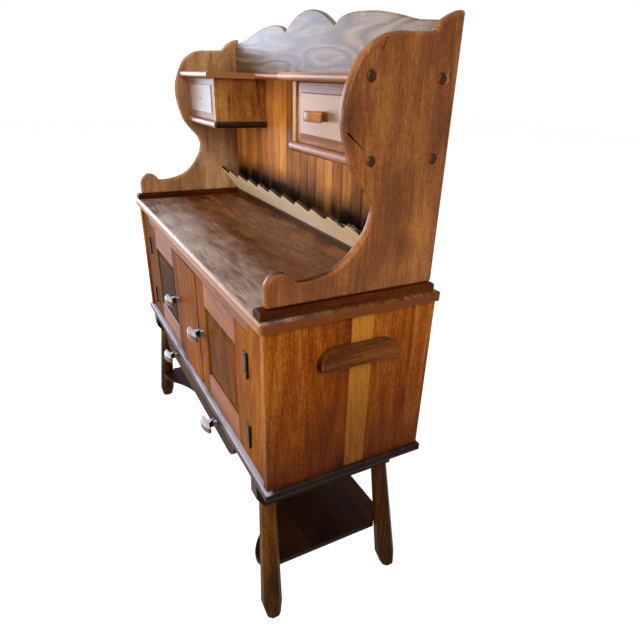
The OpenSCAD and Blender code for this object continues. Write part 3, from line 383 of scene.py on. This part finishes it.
def wood(name, dark, mid, light, grain="Z", across="Y", joints=(), tones=(), pitch_mm=0.0,
         spread=0.25, ring_mm=24, ring_depth=0.4, cloud_mm=150, cloud_depth=1.0, fibre_depth=0.5,
         speck_mm=5, speck_depth=0.5, rough=0.40, rough_spread=0.2, gloss=0.08, coat=0.0, wear=0.5,
         wear_colour="#b9793c", end="#1d0e06", end_from=0.70, fade=(), painted_top=(), front_face=(),
         relief=0.35, seed=0.0):
    made = bpy.data.materials.new(name)
    t = bare_tree(made)
    place = add(t, "ShaderNodeTexCoord", {}, out="Object")
    facing = add(t, "ShaderNodeTexCoord", {}, out="Normal")
    moved, tone = on_own_board(t, place, across, joints, tones, pitch_mm, spread, seed)
    # The figure: a slow noise folded into rings, then clouds, fibres, specks and pores.
    slow = drawn_out(t, moved, grain, RING_LENGTH, ring_mm * 5, 1.5, 0.45)
    rings = add(t, "ShaderNodeMath", {0: slow, 1: RING_TURNS}, operation="MULTIPLY")
    rings = add(t, "ShaderNodeMath", {0: rings, 1: 0.5}, operation="PINGPONG")
    clouds = drawn_out(t, moved, grain, 0.4, cloud_mm, 3.0, 0.55)
    fibres = drawn_out(t, moved, grain, 0.03, FIBRE_MM, 3.0, 0.65)
    specks = drawn_out(t, moved, grain, 0.45, speck_mm, 3.0, 0.7)
    pore = drawn_out(t, moved, grain, 0.12, PORE_MM, 1.0, 0.5)
    pore = add(t, "ShaderNodeMapRange", {0: pore, 1: 0.60, 2: 0.72, 3: 0.0, 4: PORE_DARK})
    # The stain: all of it in one number from dark to light, and then in colour.
    flames = add(t, "ShaderNodeMath", {0: rings, 1: ring_depth, 2: 0.5 - ring_depth * 0.25},
                 operation="MULTIPLY_ADD")
    shade = sum_of(t, flames, centred(t, clouds, cloud_depth), centred(t, fibres, fibre_depth),
                   centred(t, specks, speck_depth))
    if tone is not None:
        shade = add(t, "ShaderNodeMath", {0: shade, 1: tone})
    ramp = add(t, "ShaderNodeValToRGB", {0: shade}).node
    stops = ramp.color_ramp.elements
    stops[0].position, stops[0].color = DARK_AT, srgb(dark)
    stops[1].position, stops[1].color = LIGHT_AT, srgb(light)
    stops.new(MID_AT).color = srgb(mid)
    colour = add(t, "ShaderNodeMix", {0: pore, 6: ramp.outputs[0], 7: srgb(dark)}, out=2,
                 data_type="RGBA")
    # The marks of use and the painted light and shade, one over another.
    if fade:
        colour = shaded_low_down(t, colour, place, clouds, fade)
    if front_face:
        colour = front_wear_and_sheen(t, colour, facing, front_face)
    if painted_top:
        colour = painted_light_on_tops(t, colour, place, facing, clouds, fibres, painted_top)
    colour = end_grain(t, colour, facing, grain, end, end_from)
    if wear:
        colour = worn_arris(t, colour, clouds, wear, wear_colour)
    # The relief and the varnish.
    height = add(t, "ShaderNodeMath", {0: fibres, 1: 0.6, 2: clouds}, operation="MULTIPLY_ADD")
    height = sum_of(t, height, rings, specks)
    height = add(t, "ShaderNodeMath", {0: height, 1: pore}, operation="SUBTRACT")
    bump = add(t, "ShaderNodeBump", {"Strength": relief, "Distance": RELIEF_MM * MM, "Height": height})
    dull = add(t, "ShaderNodeMath", {0: clouds, 1: rough_spread, 2: rough - rough_spread / 2},
               operation="MULTIPLY_ADD")
    shell = add(t, "ShaderNodeBsdfPrincipled", {
        "Base Color": colour, "Roughness": dull, "Normal": bump, "Specular IOR Level": gloss,
        "IOR": WOOD_IOR, "Coat Weight": coat, "Coat Roughness": COAT_ROUGH})
    add(t, "ShaderNodeOutputMaterial", {"Surface": shell})
    print("mixed", name, len(t.nodes), "nodes")
    return made


# %% [markdown]
# ## The stains of the case
# The whole cabinet is stained maple, but its boards took the stain differently. The ends
# are reddish brown with one golden strip of sapwood, and painted shade darkens them low down.
# Old varnish is thin, so most boards shine far less than fresh varnish does and their gloss
# is low. The left door's panel and stiles are darker than the right door's, as painted shade.

# %% Mix the case's finishes
END_JOINTS, END_TONES = (-0.105, 0.008, 0.066, 0.185), (0.0, -0.15, 0.42, -0.05, 0.10)
finish = {}
# Five boards side by side; the third is the golden strip that draws the eye.
# The fade darkens the ends towards the bottom as painted shade.
finish["case_end"] = wood(
    "stained_maple_case_end", "#58250a", "#984c10", "#c88434", joints=END_JOINTS, tones=END_TONES,
    fibre_depth=0.9, speck_depth=0.8, fade=(0.44, 0.80, 0.80, "#421603"), gloss=0.04)
# Quiet upright grain on stiles and the middle board.
finish["upright"] = wood(
    "stained_maple_upright", "#57290a", "#874d16", "#b4742c", across="X", gloss=0.006, seed=3.3)
# The left door's stiles and the left end stile take this darker copy as painted shade.
finish["upright_dark"] = wood(
    "shade_painted_maple_upright", "#3c1c07", "#633810", "#8c5620", across="X", gloss=0.006, seed=3.9)
# Rails keep more varnish than the stiles, so they look a little pinker and brighter.
finish["rail"] = wood(
    "stained_maple_rail", "#552a12", "#834a22", "#ad703c", grain="X", across="Z", gloss=0.09, seed=4.7)
# The door panels are wide boards with long, calm flames.
finish["panel"] = wood(
    "stained_maple_panel", "#3a1c08", "#643813", "#925a26", across="X", ring_mm=30, gloss=0.006, seed=5.2)
# The left door's panel takes this darker copy as painted shade.
finish["panel_dark"] = wood(
    "shade_painted_maple_panel", "#1c0c03", "#331a07", "#523012", across="X", ring_mm=30, gloss=0.006,
    seed=5.5)
print("case finishes:", len(finish))

# %% [markdown]
# ## The stains of the counter and the base
# The counter is where the baking was done. Pale streaks of painted sheen lie on it towards
# the front, and its front edge is worn down to golden wood. The mouldings beside it stayed
# dark. The base board's front edge carries a cool grey painted sheen, and the lift handles
# are dark.

# %% Mix the finishes of the counter and the base
# The pale streaks on the counter's top towards the front are painted sheen.
finish["counter"] = wood(
    "worn_maple_counter_painted_sheen", "#381c0c", "#6c4020", "#a87444", grain="X", pitch_mm=95, spread=0.12,
    cloud_mm=55, cloud_depth=1.0, speck_mm=7, speck_depth=0.8, rough=0.26, rough_spread=0.25, gloss=0.09,
    end="#7a3e12", front_face=(0.3, 0.8, 0.9, "#a06a38"), painted_top=(-0.235, -0.02, 1.6, "#b6a89e"), relief=0.4,
    seed=2.1)
finish["sill"] = wood(
    "stained_maple_sill", "#220a03", "#441c07", "#723c15", grain="Y", across="X", gloss=0.03, seed=9.6)
finish["back_sill"] = wood(
    "dark_stained_maple_back_sill", "#1c120a", "#3a2716", "#5c4227", grain="X", gloss=0.05, seed=9.9)
# The pale band along the base board's front edge is painted sheen.
finish["base"] = wood(
    "sheen_painted_maple_base", "#1c100a", "#36221a", "#563a2a", grain="X", gloss=0.06, end="#100604", wear=0.0,
    painted_top=(-0.204, -0.190, 2.2, "#aaa8ba"), seed=10.2)
finish["lift"] = wood(
    "stained_maple_lift_handle", "#2c1206", "#582c12", "#8a5826", grain="Y", rough=0.3, gloss=0.05,
    end="#2a1206", seed=18.8)
print("finishes so far:", len(finish))

# %% [markdown]
# ## The stains of the hutch
# The hutch's right side is a wide board with clouds of stain under glossier varnish, and
# the left side is the same board, paler. The back boards are golden, with painted shadow on
# them behind the plate rail and a little above it. The rail itself was hardly stained, and
# its colours are lightened almost to white as painted light. The crest is grey-brown with a
# strong flame figure. The shelves keep pale ends, but the ends of the boards under the drawers are black.

# %% Mix the hutch's finishes
SIDE_FIGURE = dict(cloud_mm=110, cloud_depth=1.5, speck_mm=3.5, speck_depth=0.7, ring_depth=0.3,
                   rough=0.28, rough_spread=0.15, gloss=0.2, wear=0.9)
finish["hutch_end"] = wood(
    "stained_maple_hutch_end", "#4c270c", "#844a1a", "#bc7c3c", fibre_depth=0.7, seed=1.3, **SIDE_FIGURE)
# The left side is a paler copy of the right side's finish.
finish["hutch_worn"] = wood(
    "pale_maple_hutch_end", "#6a4830", "#a87c56", "#d8b48c", fibre_depth=0.6, seed=1.8, **SIDE_FIGURE)
# One tone by chance for each back board, which is what makes them read as separate boards.
# Their fade is the plate rail's painted shadow on the back boards.
finish["beadboard"] = wood(
    "golden_maple_back_board", "#6c3c10", "#ad6c2a", "#e09a4c", across="X", pitch_mm=53.4, spread=0.3,
    cloud_mm=90, fibre_depth=0.8, wear=0.0, rough=0.45, gloss=0.05, fade=(1.02, 1.08, 1.0, "#1c0f06"),
    seed=6.1)
finish["crest"] = wood(
    "stained_maple_crest", "#33281e", "#665340", "#948068", grain="X", ring_mm=16, ring_depth=0.9,
    gloss=0.16, rough=0.34, relief=0.9, seed=7.9)
finish["shelf"] = wood(
    "stained_maple_shelf", "#6a3c1c", "#9a5f30", "#c28a54", grain="X", rough=0.34, gloss=0.25,
    end="#9a6a40", seed=8.4)
finish["box_floor"] = wood(
    "stained_maple_box_floor", "#5c3418", "#8f5830", "#ba8450", grain="X", rough=0.34, gloss=0.22,
    end="#0a0504", end_from=0.12, seed=8.8)
finish["box_end"] = wood(
    "golden_maple_box_end", "#5b300f", "#95602e", "#c89254", grain="Z", speck_mm=7, speck_depth=0.8,
    cloud_mm=60, cloud_depth=1.5, seed=15.5)
# A pale face, lightened as painted light, with painted shade on its waved top edge, so that the waves stand
# out against the back boards.
finish["rail_pale"] = wood(
    "pale_maple_plate_rail", "#fcd6a8", "#fff0cc", "#fffaf0", grain="X", wear=0.0, gloss=0.1,
    painted_top=(1.0, 2.0, 14.0, "#33200f"), seed=14.0)
finish["plug"] = wood(
    "end_grain_plug", "#140b06", "#2a1c12", "#48331f", grain="Z", wear=0.0, gloss=0.2, seed=19.1)
print("finishes so far:", len(finish))

# %% [markdown]
# ## The stains of the drawers, the pulls and bare wood
# The raised fields of the upper drawers carry a pale painted sheen, the left one more than
# the right. Their bevelled borders stay brown. Drawer boxes and everything inside the case
# were never stained, so they are light and matt. The pulls are polished dark by hands and
# shine the most, with a cool painted highlight on their tops; the upper one has lighter,
# warmer colours and less shine.

# %% Mix the drawers' finishes
FRONT_FIGURE = dict(across="X", grain="X", gloss=0.10, rough=0.36, wear=0.7)
# The pale colour on the flat front faces is painted sheen.
finish["drawer_face"] = wood(
    "worn_maple_drawer_front_painted_sheen", "#5e3318", "#8e5830", "#bc8854", wear_colour="#6a3a18",
    front_face=(0.988, 0.997, 0.72, "#bb9c82"), seed=5.9, **FRONT_FIGURE)
# A paler painted sheen for the left drawer.
finish["drawer_face_pale"] = wood(
    "sheen_painted_maple_drawer_front", "#5a3a24", "#86603e", "#b08a60", wear_colour="#5a3418",
    front_face=(0.988, 0.997, 0.85, "#998e84"), seed=6.4, **FRONT_FIGURE)
finish["low_front"] = wood(
    "dark_stained_maple_drawer_front", "#20140a", "#3c2917", "#5e452b", grain="X", gloss=0.006, wear=0.3,
    seed=6.6)
finish["drawer"] = wood(
    "bare_maple_drawer_box", "#a27a4c", "#c39b6b", "#dcbb8c", grain="Y", wear=0.0, gloss=0.05, rough=0.6,
    end="#8a6238", seed=16.2)
finish["back_panel"] = wood(
    "bare_maple_case_back", "#6e4c2a", "#a27848", "#c8a06c", grain="X", across="Z", pitch_mm=142,
    spread=0.2, gloss=0.05, rough=0.6, wear=0.0, seed=16.9)
# The pale colour on the pulls' tops is a painted highlight.
finish["grip"] = wood(
    "polished_maple_pull_painted_highlight", "#2e170b", "#583319", "#8a5a32", grain="X", rough=0.30, rough_spread=0.1,
    gloss=0.5, coat=0.15, end="#24120a", wear=0.3, painted_top=(1.0, 2.0, 2.4, "#c6ccd8"), seed=17.4)
finish["grip_warm"] = wood(
    "waxed_maple_pull", "#6a3c1c", "#a0683a", "#ca9560", grain="X", rough=0.36, gloss=0.12,
    end="#5a3218", wear=0.3, seed=17.8)
print("finishes so far:", len(finish))

# %% [markdown]
# ## The stains of the underframe
# The legs, their battens and the lower shelf saw little polish and are stained nearly
# black-brown; the battens and the lower shelf are darkened further as painted shade. The legs
# turn darker still towards the feet, as painted shade.

# %% Mix the underframe's finishes
# The fade darkens the legs towards the feet as painted shade.
finish["leg"] = wood(
    "dark_stained_maple_leg_painted_shade", "#1f0d03", "#4e2c0d", "#94601e", across="X",
    fade=(0.06, 0.36, 0.60, "#150903"), gloss=0.03, wear=0.3, seed=11.8)
# The battens' and the lower shelf's darkest colours are partly painted shade.
finish["underframe"] = wood(
    "dark_stained_maple_underframe_painted_shade", "#0f0602", "#21100a", "#3a2010", grain="Y", gloss=0.03, wear=0.2,
    seed=12.1)
finish["low_shelf"] = wood(
    "dark_stained_maple_shelf_painted_shade", "#150803", "#2a1308", "#44220e", grain="X", pitch_mm=105, gloss=0.05,
    wear=0.0, seed=13.3)
print("all wood finishes:", len(finish))

# %% [markdown]
# ## Old iron
# The hinges and screws are forged or stamped iron that has darkened to a brown-black skin.
# Iron keeps its metallic setting at one, and the skin is only a change of colour and
# roughness: spots of about 6 mm, with a grit of about 1 mm that breaks up the shine.

# %% The iron finish
SPOT_MM, GRIT_MM, GRIT_HIGH_MM = 6, 1.2, 0.15
iron = bpy.data.materials.new("blackened_iron")
t = bare_tree(iron)
place = add(t, "ShaderNodeTexCoord", {}, out="Object")
spots = add(t, "ShaderNodeTexNoise", {"Vector": place, "Scale": 1 / (SPOT_MM * MM), "Detail": 4.0,
                                      "Roughness": 0.6})
grit = add(t, "ShaderNodeTexNoise", {"Vector": place, "Scale": 1 / (GRIT_MM * MM), "Detail": 2.0})
skin = add(t, "ShaderNodeValToRGB", {0: spots}).node
dark_stop, light_stop = skin.color_ramp.elements
dark_stop.position, dark_stop.color = 0.35, srgb("#120d0a")
light_stop.position, light_stop.color = 0.75, srgb("#40322a")
dull = add(t, "ShaderNodeMath", {0: spots, 1: 0.35, 2: 0.28}, operation="MULTIPLY_ADD")
bump = add(t, "ShaderNodeBump", {"Strength": 0.4, "Distance": GRIT_HIGH_MM * MM, "Height": grit})
shell = add(t, "ShaderNodeBsdfPrincipled", {"Base Color": skin.outputs[0], "Metallic": 1.0,
                                            "Roughness": dull, "Normal": bump})
add(t, "ShaderNodeOutputMaterial", {"Surface": shell})
print("mixed", iron.name)

# %% [markdown]
# ## Ease the arrises
# No board on an old cabinet has a razor edge: a plane, sandpaper and eighty years of cloths
# have rounded them all. The solids stay as they are, and modifiers do the rounding: weld the
# corners, join flat faces again, shade smooth, bevel every sharp edge, and weight the
# normals so that the flat faces stay flat.

# %% Smooth shading as a node group
smooth_group = bpy.data.node_groups.new("smooth_faces", "GeometryNodeTree")
smooth_group.interface.new_socket("Geometry", in_out="INPUT", socket_type="NodeSocketGeometry")
smooth_group.interface.new_socket("Geometry", in_out="OUTPUT", socket_type="NodeSocketGeometry")
given = add(smooth_group, "NodeGroupInput", {})
bare = add(smooth_group, "GeometryNodeRemoveAttribute", {0: given, "Name": "custom_normal"})
soft = add(smooth_group, "GeometryNodeSetShadeSmooth", {0: bare})
add(smooth_group, "NodeGroupOutput", {0: soft})
print("group", smooth_group.name, "ready")

# %% The easing modifiers
WELD_MM, FLAT_DEGREES = 0.02, 0.4


def ease(piece, width_mm, segments, angle):
    weld = piece.modifiers.new("weld", "WELD")
    weld.merge_threshold = WELD_MM * MM
    flat = piece.modifiers.new("flat", "DECIMATE")
    flat.decimate_type = "DISSOLVE"
    flat.angle_limit = math.radians(FLAT_DEGREES)
    shade = piece.modifiers.new("smooth", "NODES")
    shade.node_group = smooth_group
    bevel = piece.modifiers.new("ease", "BEVEL")
    bevel.width = width_mm * MM
    bevel.segments = segments
    bevel.limit_method = "ANGLE"
    bevel.angle_limit = math.radians(angle)
    bevel.use_clamp_overlap = False
    bevel.miter_outer = "MITER_ARC"
    piece.modifiers.new("normals", "WEIGHTED_NORMAL").keep_sharp = False


def dress(names, material, width_mm, segments=2, angle=35.0):
    for name in names.split():
        piece = NODES[name]
        piece.data.materials.clear()
        piece.data.materials.append(material)
        ease(piece, width_mm, segments, angle)
    print(material.name, "on", names)


# %% [markdown]
# ## Finish every carried-over piece
# Each line names the pieces of one board type, its finish and how far its arrises are
# rounded, in millimetres. Plain boards get a millimetre or so. The hutch sides were worked
# with a wide rounding cutter and get 8, the lift handles 5, the crest 4, and the legs, with
# their cut corners, 2.5 at every corner of more than 20 degrees.

# %% Dress the case and its doors
dress("case_side_left case_side_right", finish["case_end"], 1.5)
dress("counter_top", finish["counter"], 0.5)
dress("end_stile_right centre_board door_right_stiles", finish["upright"], 1.2)
dress("end_stile_left door_left_stiles", finish["upright_dark"], 1.2)
dress("top_rail door_left_rails door_right_rails", finish["rail"], 1.2)
dress("door_right_panel", finish["panel"], 0.6)
dress("door_left_panel", finish["panel_dark"], 0.6)
dress("case_back", finish["back_panel"], 0.8)
dress("door_stop inner_shelf shelf_cleats", finish["drawer"], 0.8)
dress("base_board", finish["base"], 0.8)
dress("lift_handle_left lift_handle_right", finish["lift"], 5.0, 5, 50.0)
dress("frame_hinge_leaves hinge_pins door_left_hinge_leaves door_right_hinge_leaves", iron, 0.3)

# %% Dress the hutch
dress("hutch_side_right", finish["hutch_end"], 8.0, 5)
dress("hutch_side_left", finish["hutch_worn"], 8.0, 5)
dress("back_boards", finish["beadboard"], 0.5)
dress("crest_board", finish["crest"], 4.0, 4)
dress("top_shelf", finish["shelf"], 0.6)
dress("box_bottom_left box_bottom_right", finish["box_floor"], 0.6)
dress("box_side_left box_side_right", finish["box_end"], 1.2)
dress("sill_left sill_right", finish["sill"], 0.8)
dress("sill_back", finish["back_sill"], 0.8)
dress("plate_rail", finish["rail_pale"], 0.8)
dress("side_plugs", finish["plug"], 0.8, 3)

# %% Dress the drawers and the underframe
dress("upper_right_front", finish["drawer_face"], 1.2)
dress("upper_left_front", finish["drawer_face_pale"], 1.2)
dress("low_drawer_front", finish["low_front"], 1.2)
dress("upper_left_box upper_right_box low_drawer_box drawer_runners", finish["drawer"], 0.6)
dress("leg_front_left leg_front_right leg_back_left leg_back_right", finish["leg"], 2.5, 3, 20.0)
dress("leg_batten_left leg_batten_right", finish["underframe"], 2.0, 3)
dress("lower_shelf", finish["low_shelf"], 2.0, 3)

# %% [markdown]
# ## Wooden pulls
# Each pull was sawn from one thick board: a bowed grip about 80 mm long on a narrow neck
# that flares again where it meets the wood, with all its upper and lower edges rounded by
# hand. So the outline is drawn once, as seen from above, and repeated as rings at rising
# heights. Rings near the top and the bottom draw in along a quarter of an ellipse, which
# is what the rounding file leaves.

# %% A smooth line through points
def smooth_line(points, steps=5):
    """A Catmull-Rom curve through the points, without its last point."""
    line = []
    for i in range(len(points) - 1):
        a, b, c, d = (Vector(points[min(max(i + k, 0), len(points) - 1)]) for k in (-1, 0, 1, 2))
        for k in range(steps):
            u = k / steps
            line.append(0.5 * (2 * b + (c - a) * u + (2 * a - 5 * b + 4 * c - d) * u * u
                               + (3 * b - a - 3 * c + d) * u ** 3))
    return line


print("points on a test line:", len(smooth_line([(0, 0), (1, 0), (2, 1)])))

# %% The outline of a pull
PULL_HALF, PULL_HIGH, PULL_REACH, PULL_BOW, PULL_THICK, PULL_TIP = 40.0, 20.0, 46.0, 13.0, 21.0, 3.5
NECK_HALF, FOOT_HALF = 9.5, 13.0
TIP_STEPS, BOW_STEPS = 7, 14


def pull_outline():
    """Half of the outline, from the foot round the tip to the middle of the bow, then mirrored."""
    back, end = -PULL_REACH + PULL_THICK, -PULL_REACH + PULL_BOW + PULL_TIP
    line = smooth_line([(FOOT_HALF, 0), (NECK_HALF + 1, back * 0.24), (NECK_HALF, back * 0.56),
                        (NECK_HALF + 2.5, back * 0.84), (NECK_HALF + 10, back + 1),
                        (PULL_HALF - 10, end + PULL_TIP + 1.5), (PULL_HALF - PULL_TIP, end + PULL_TIP)])
    for k in range(TIP_STEPS + 1):
        a = math.radians(60 - 105 * k / TIP_STEPS)
        line.append(Vector((PULL_HALF - PULL_TIP + PULL_TIP * math.cos(a), end + PULL_TIP * math.sin(a))))
    bow = (PULL_HALF ** 2 + PULL_BOW ** 2) / (2 * PULL_BOW)
    reach = math.asin((PULL_HALF - PULL_TIP) / bow)
    for k in range(BOW_STEPS, -1, -1):
        a = reach * k / BOW_STEPS
        line.append(Vector((bow * math.sin(a), -PULL_REACH + bow * (1 - math.cos(a)))))
    return line + [Vector((-p.x, p.y)) for p in line[-2::-1]]


PULL_LINE = pull_outline()
print("points round a pull:", len(PULL_LINE))

# %% Rings that make a solid
def drawn_in(line, inset):
    """The outline moved inwards, with its two ends kept on the face of the wood."""
    moved = []
    for k, point in enumerate(line):
        if k in (0, len(line) - 1):
            moved.append(Vector((point.x - math.copysign(inset, point.x), point.y)))
            continue
        way = (line[k + 1] - line[k - 1]).normalized()
        moved.append(point + Vector((way.y, -way.x)) * inset)
    return moved


def add_rings(bm, rings):
    """Join closed rings of points with quads and close both ends."""
    made = [[bm.verts.new(point) for point in ring] for ring in rings]
    for low, high in zip(made, made[1:]):
        for k in range(len(low)):
            n = (k + 1) % len(low)
            bm.faces.new((low[k], low[n], high[n], high[k]))
    bm.faces.new(made[0][::-1])
    bm.faces.new(made[-1])


print("outline 2 mm in has", len(drawn_in(PULL_LINE, 2.0)), "points")

# %% One pull
ROUND_HIGH, ROUND_IN, ROUND_STEPS = 7.0, 3.2, 6


def add_pull(bm, centre):
    rings = []
    for k in range(-ROUND_STEPS, ROUND_STEPS + 1):
        a = math.pi / 2 * abs(k) / ROUND_STEPS
        high = (PULL_HIGH / 2 - ROUND_HIGH + ROUND_HIGH * math.sin(a)) * (1 if k > 0 else -1)
        if k == 0:
            high = 0.0
        inset = 0.0 if k == 0 else ROUND_IN * (1 - math.cos(a))
        rings.append([centre + Vector((p.x, p.y, high)) * MM for p in drawn_in(PULL_LINE, inset)])
    add_rings(bm, rings)


print("a pull is", 2 * PULL_HALF, "mm long and", PULL_HIGH, "mm high")

# %% [markdown]
# ## From a mesh to a piece
# A finished mesh becomes a piece that rides on one of the cabinet's bodies and stands in
# for the plainer solid of the same thing.

# %% Make a piece of a mesh
def mesh_piece(name, bm, material, body, slot, *replaced):
    bmesh.ops.recalc_face_normals(bm, faces=bm.faces)
    data = bpy.data.meshes.new(name)
    bm.to_mesh(data)
    bm.free()
    data.materials.append(material)
    for face in data.polygons:
        face.use_smooth = True
    piece = bpy.data.objects.new(name, data)
    bpy.context.scene.collection.objects.link(piece)
    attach(piece, body)
    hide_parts(*replaced)
    print(name, "has", len(data.polygons), "faces")
    return piece


# %% [markdown]
# Four bodies carry pulls: both doors, the right upper drawer and the lower drawer, which
# has two. The left upper drawer has lost its pull in the photograph.

# %% Make the pulls
LOW_PULL_OUT = 0.240


def face_of(node):
    """The middle of the face that a pull is screwed to."""
    low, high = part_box(node)
    return Vector(((low[0] + high[0]) / 2, high[1], (low[2] + high[2]) / 2))


for node, body, stain in (("door_left_pull", "door_left", "grip"), ("door_right_pull", "door_right", "grip"),
                          ("upper_right_pull", "upper_drawer_right", "grip_warm")):
    bm = bmesh.new()
    add_pull(bm, face_of(node))
    mesh_piece("carved_" + node, bm, finish[stain], body, "case_wood", node)
bm = bmesh.new()
for side in (-1, 1):
    add_pull(bm, face_of("low_drawer_pulls") + Vector((side * LOW_PULL_OUT, 0, 0)))
mesh_piece("carved_low_drawer_pulls", bm, finish["grip"], "lower_drawer", "case_wood", "low_drawer_pulls")

# %% [markdown]
# ## Slotted screws
# The hinge leaves are held by old slotted screws. A head is a flat disc with two half
# moons on it, and the space between the half moons is the slot, so it casts a real shadow.
# No two old screws stop at the same turn, so each slot points its own way.

# %% A screw head
HEAD_RADIUS, HEAD_HIGH, SLOT_HALF = 2.8, 0.9, 0.42
DISC_HIGH, MOON_LOW, MOON_EDGE, MOON_IN = 0.35, 0.3, 0.6, 0.9
DISC_POINTS, MOON_STEPS = 24, 12


def add_head(bm, centre, turn):
    def ring(out_mm):
        turns = [2 * math.pi * k / DISC_POINTS for k in range(DISC_POINTS)]
        return [centre + Vector((HEAD_RADIUS * math.cos(a), -out_mm, HEAD_RADIUS * math.sin(a))) * MM
                for a in turns]
    add_rings(bm, [ring(0.0), ring(DISC_HIGH)])
    start = math.asin(SLOT_HALF / HEAD_RADIUS)
    spread = [start + (math.pi - 2 * start) * k / MOON_STEPS for k in range(MOON_STEPS + 1)]
    for half in (0, math.pi):
        turned = Matrix.Rotation(turn + half, 3, "Y")

        def moon(shrink, out_mm):
            return [centre + turned @ Vector((
                HEAD_RADIUS * shrink * math.cos(a), -out_mm,
                HEAD_RADIUS * shrink * math.sin(a) + SLOT_HALF * (1 - shrink))) * MM for a in spread]
        add_rings(bm, [moon(1.0, MOON_LOW), moon(1.0, MOON_EDGE), moon(MOON_IN, HEAD_HIGH)])


print("a screw head is", 2 * HEAD_RADIUS, "mm wide with a slot of", 2 * SLOT_HALF, "mm")

# %% Place the screw heads
HINGE_HEIGHTS = (0.545, 0.7508)
SCREW_STEP, STAGGER_MM = 0.02176, 3.5

for node, body, side in (("door_left_screws", "door_left", -1), ("door_right_screws", "door_right", 1)):
    low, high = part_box(node)
    bm = bmesh.new()
    for hinge_z in HINGE_HEIGHTS:
        for k in (-1, 0, 1):
            aside = side * STAGGER_MM * MM if k == 0 else -side * STAGGER_MM * MM
            centre = Vector(((high[0] + low[0]) / 2 + aside, high[1], hinge_z + k * SCREW_STEP))
            add_head(bm, centre, 0.5 + 0.7 * k + hinge_z * 5)
    mesh_piece("slotted_" + node, bm, iron, body, "iron", node)
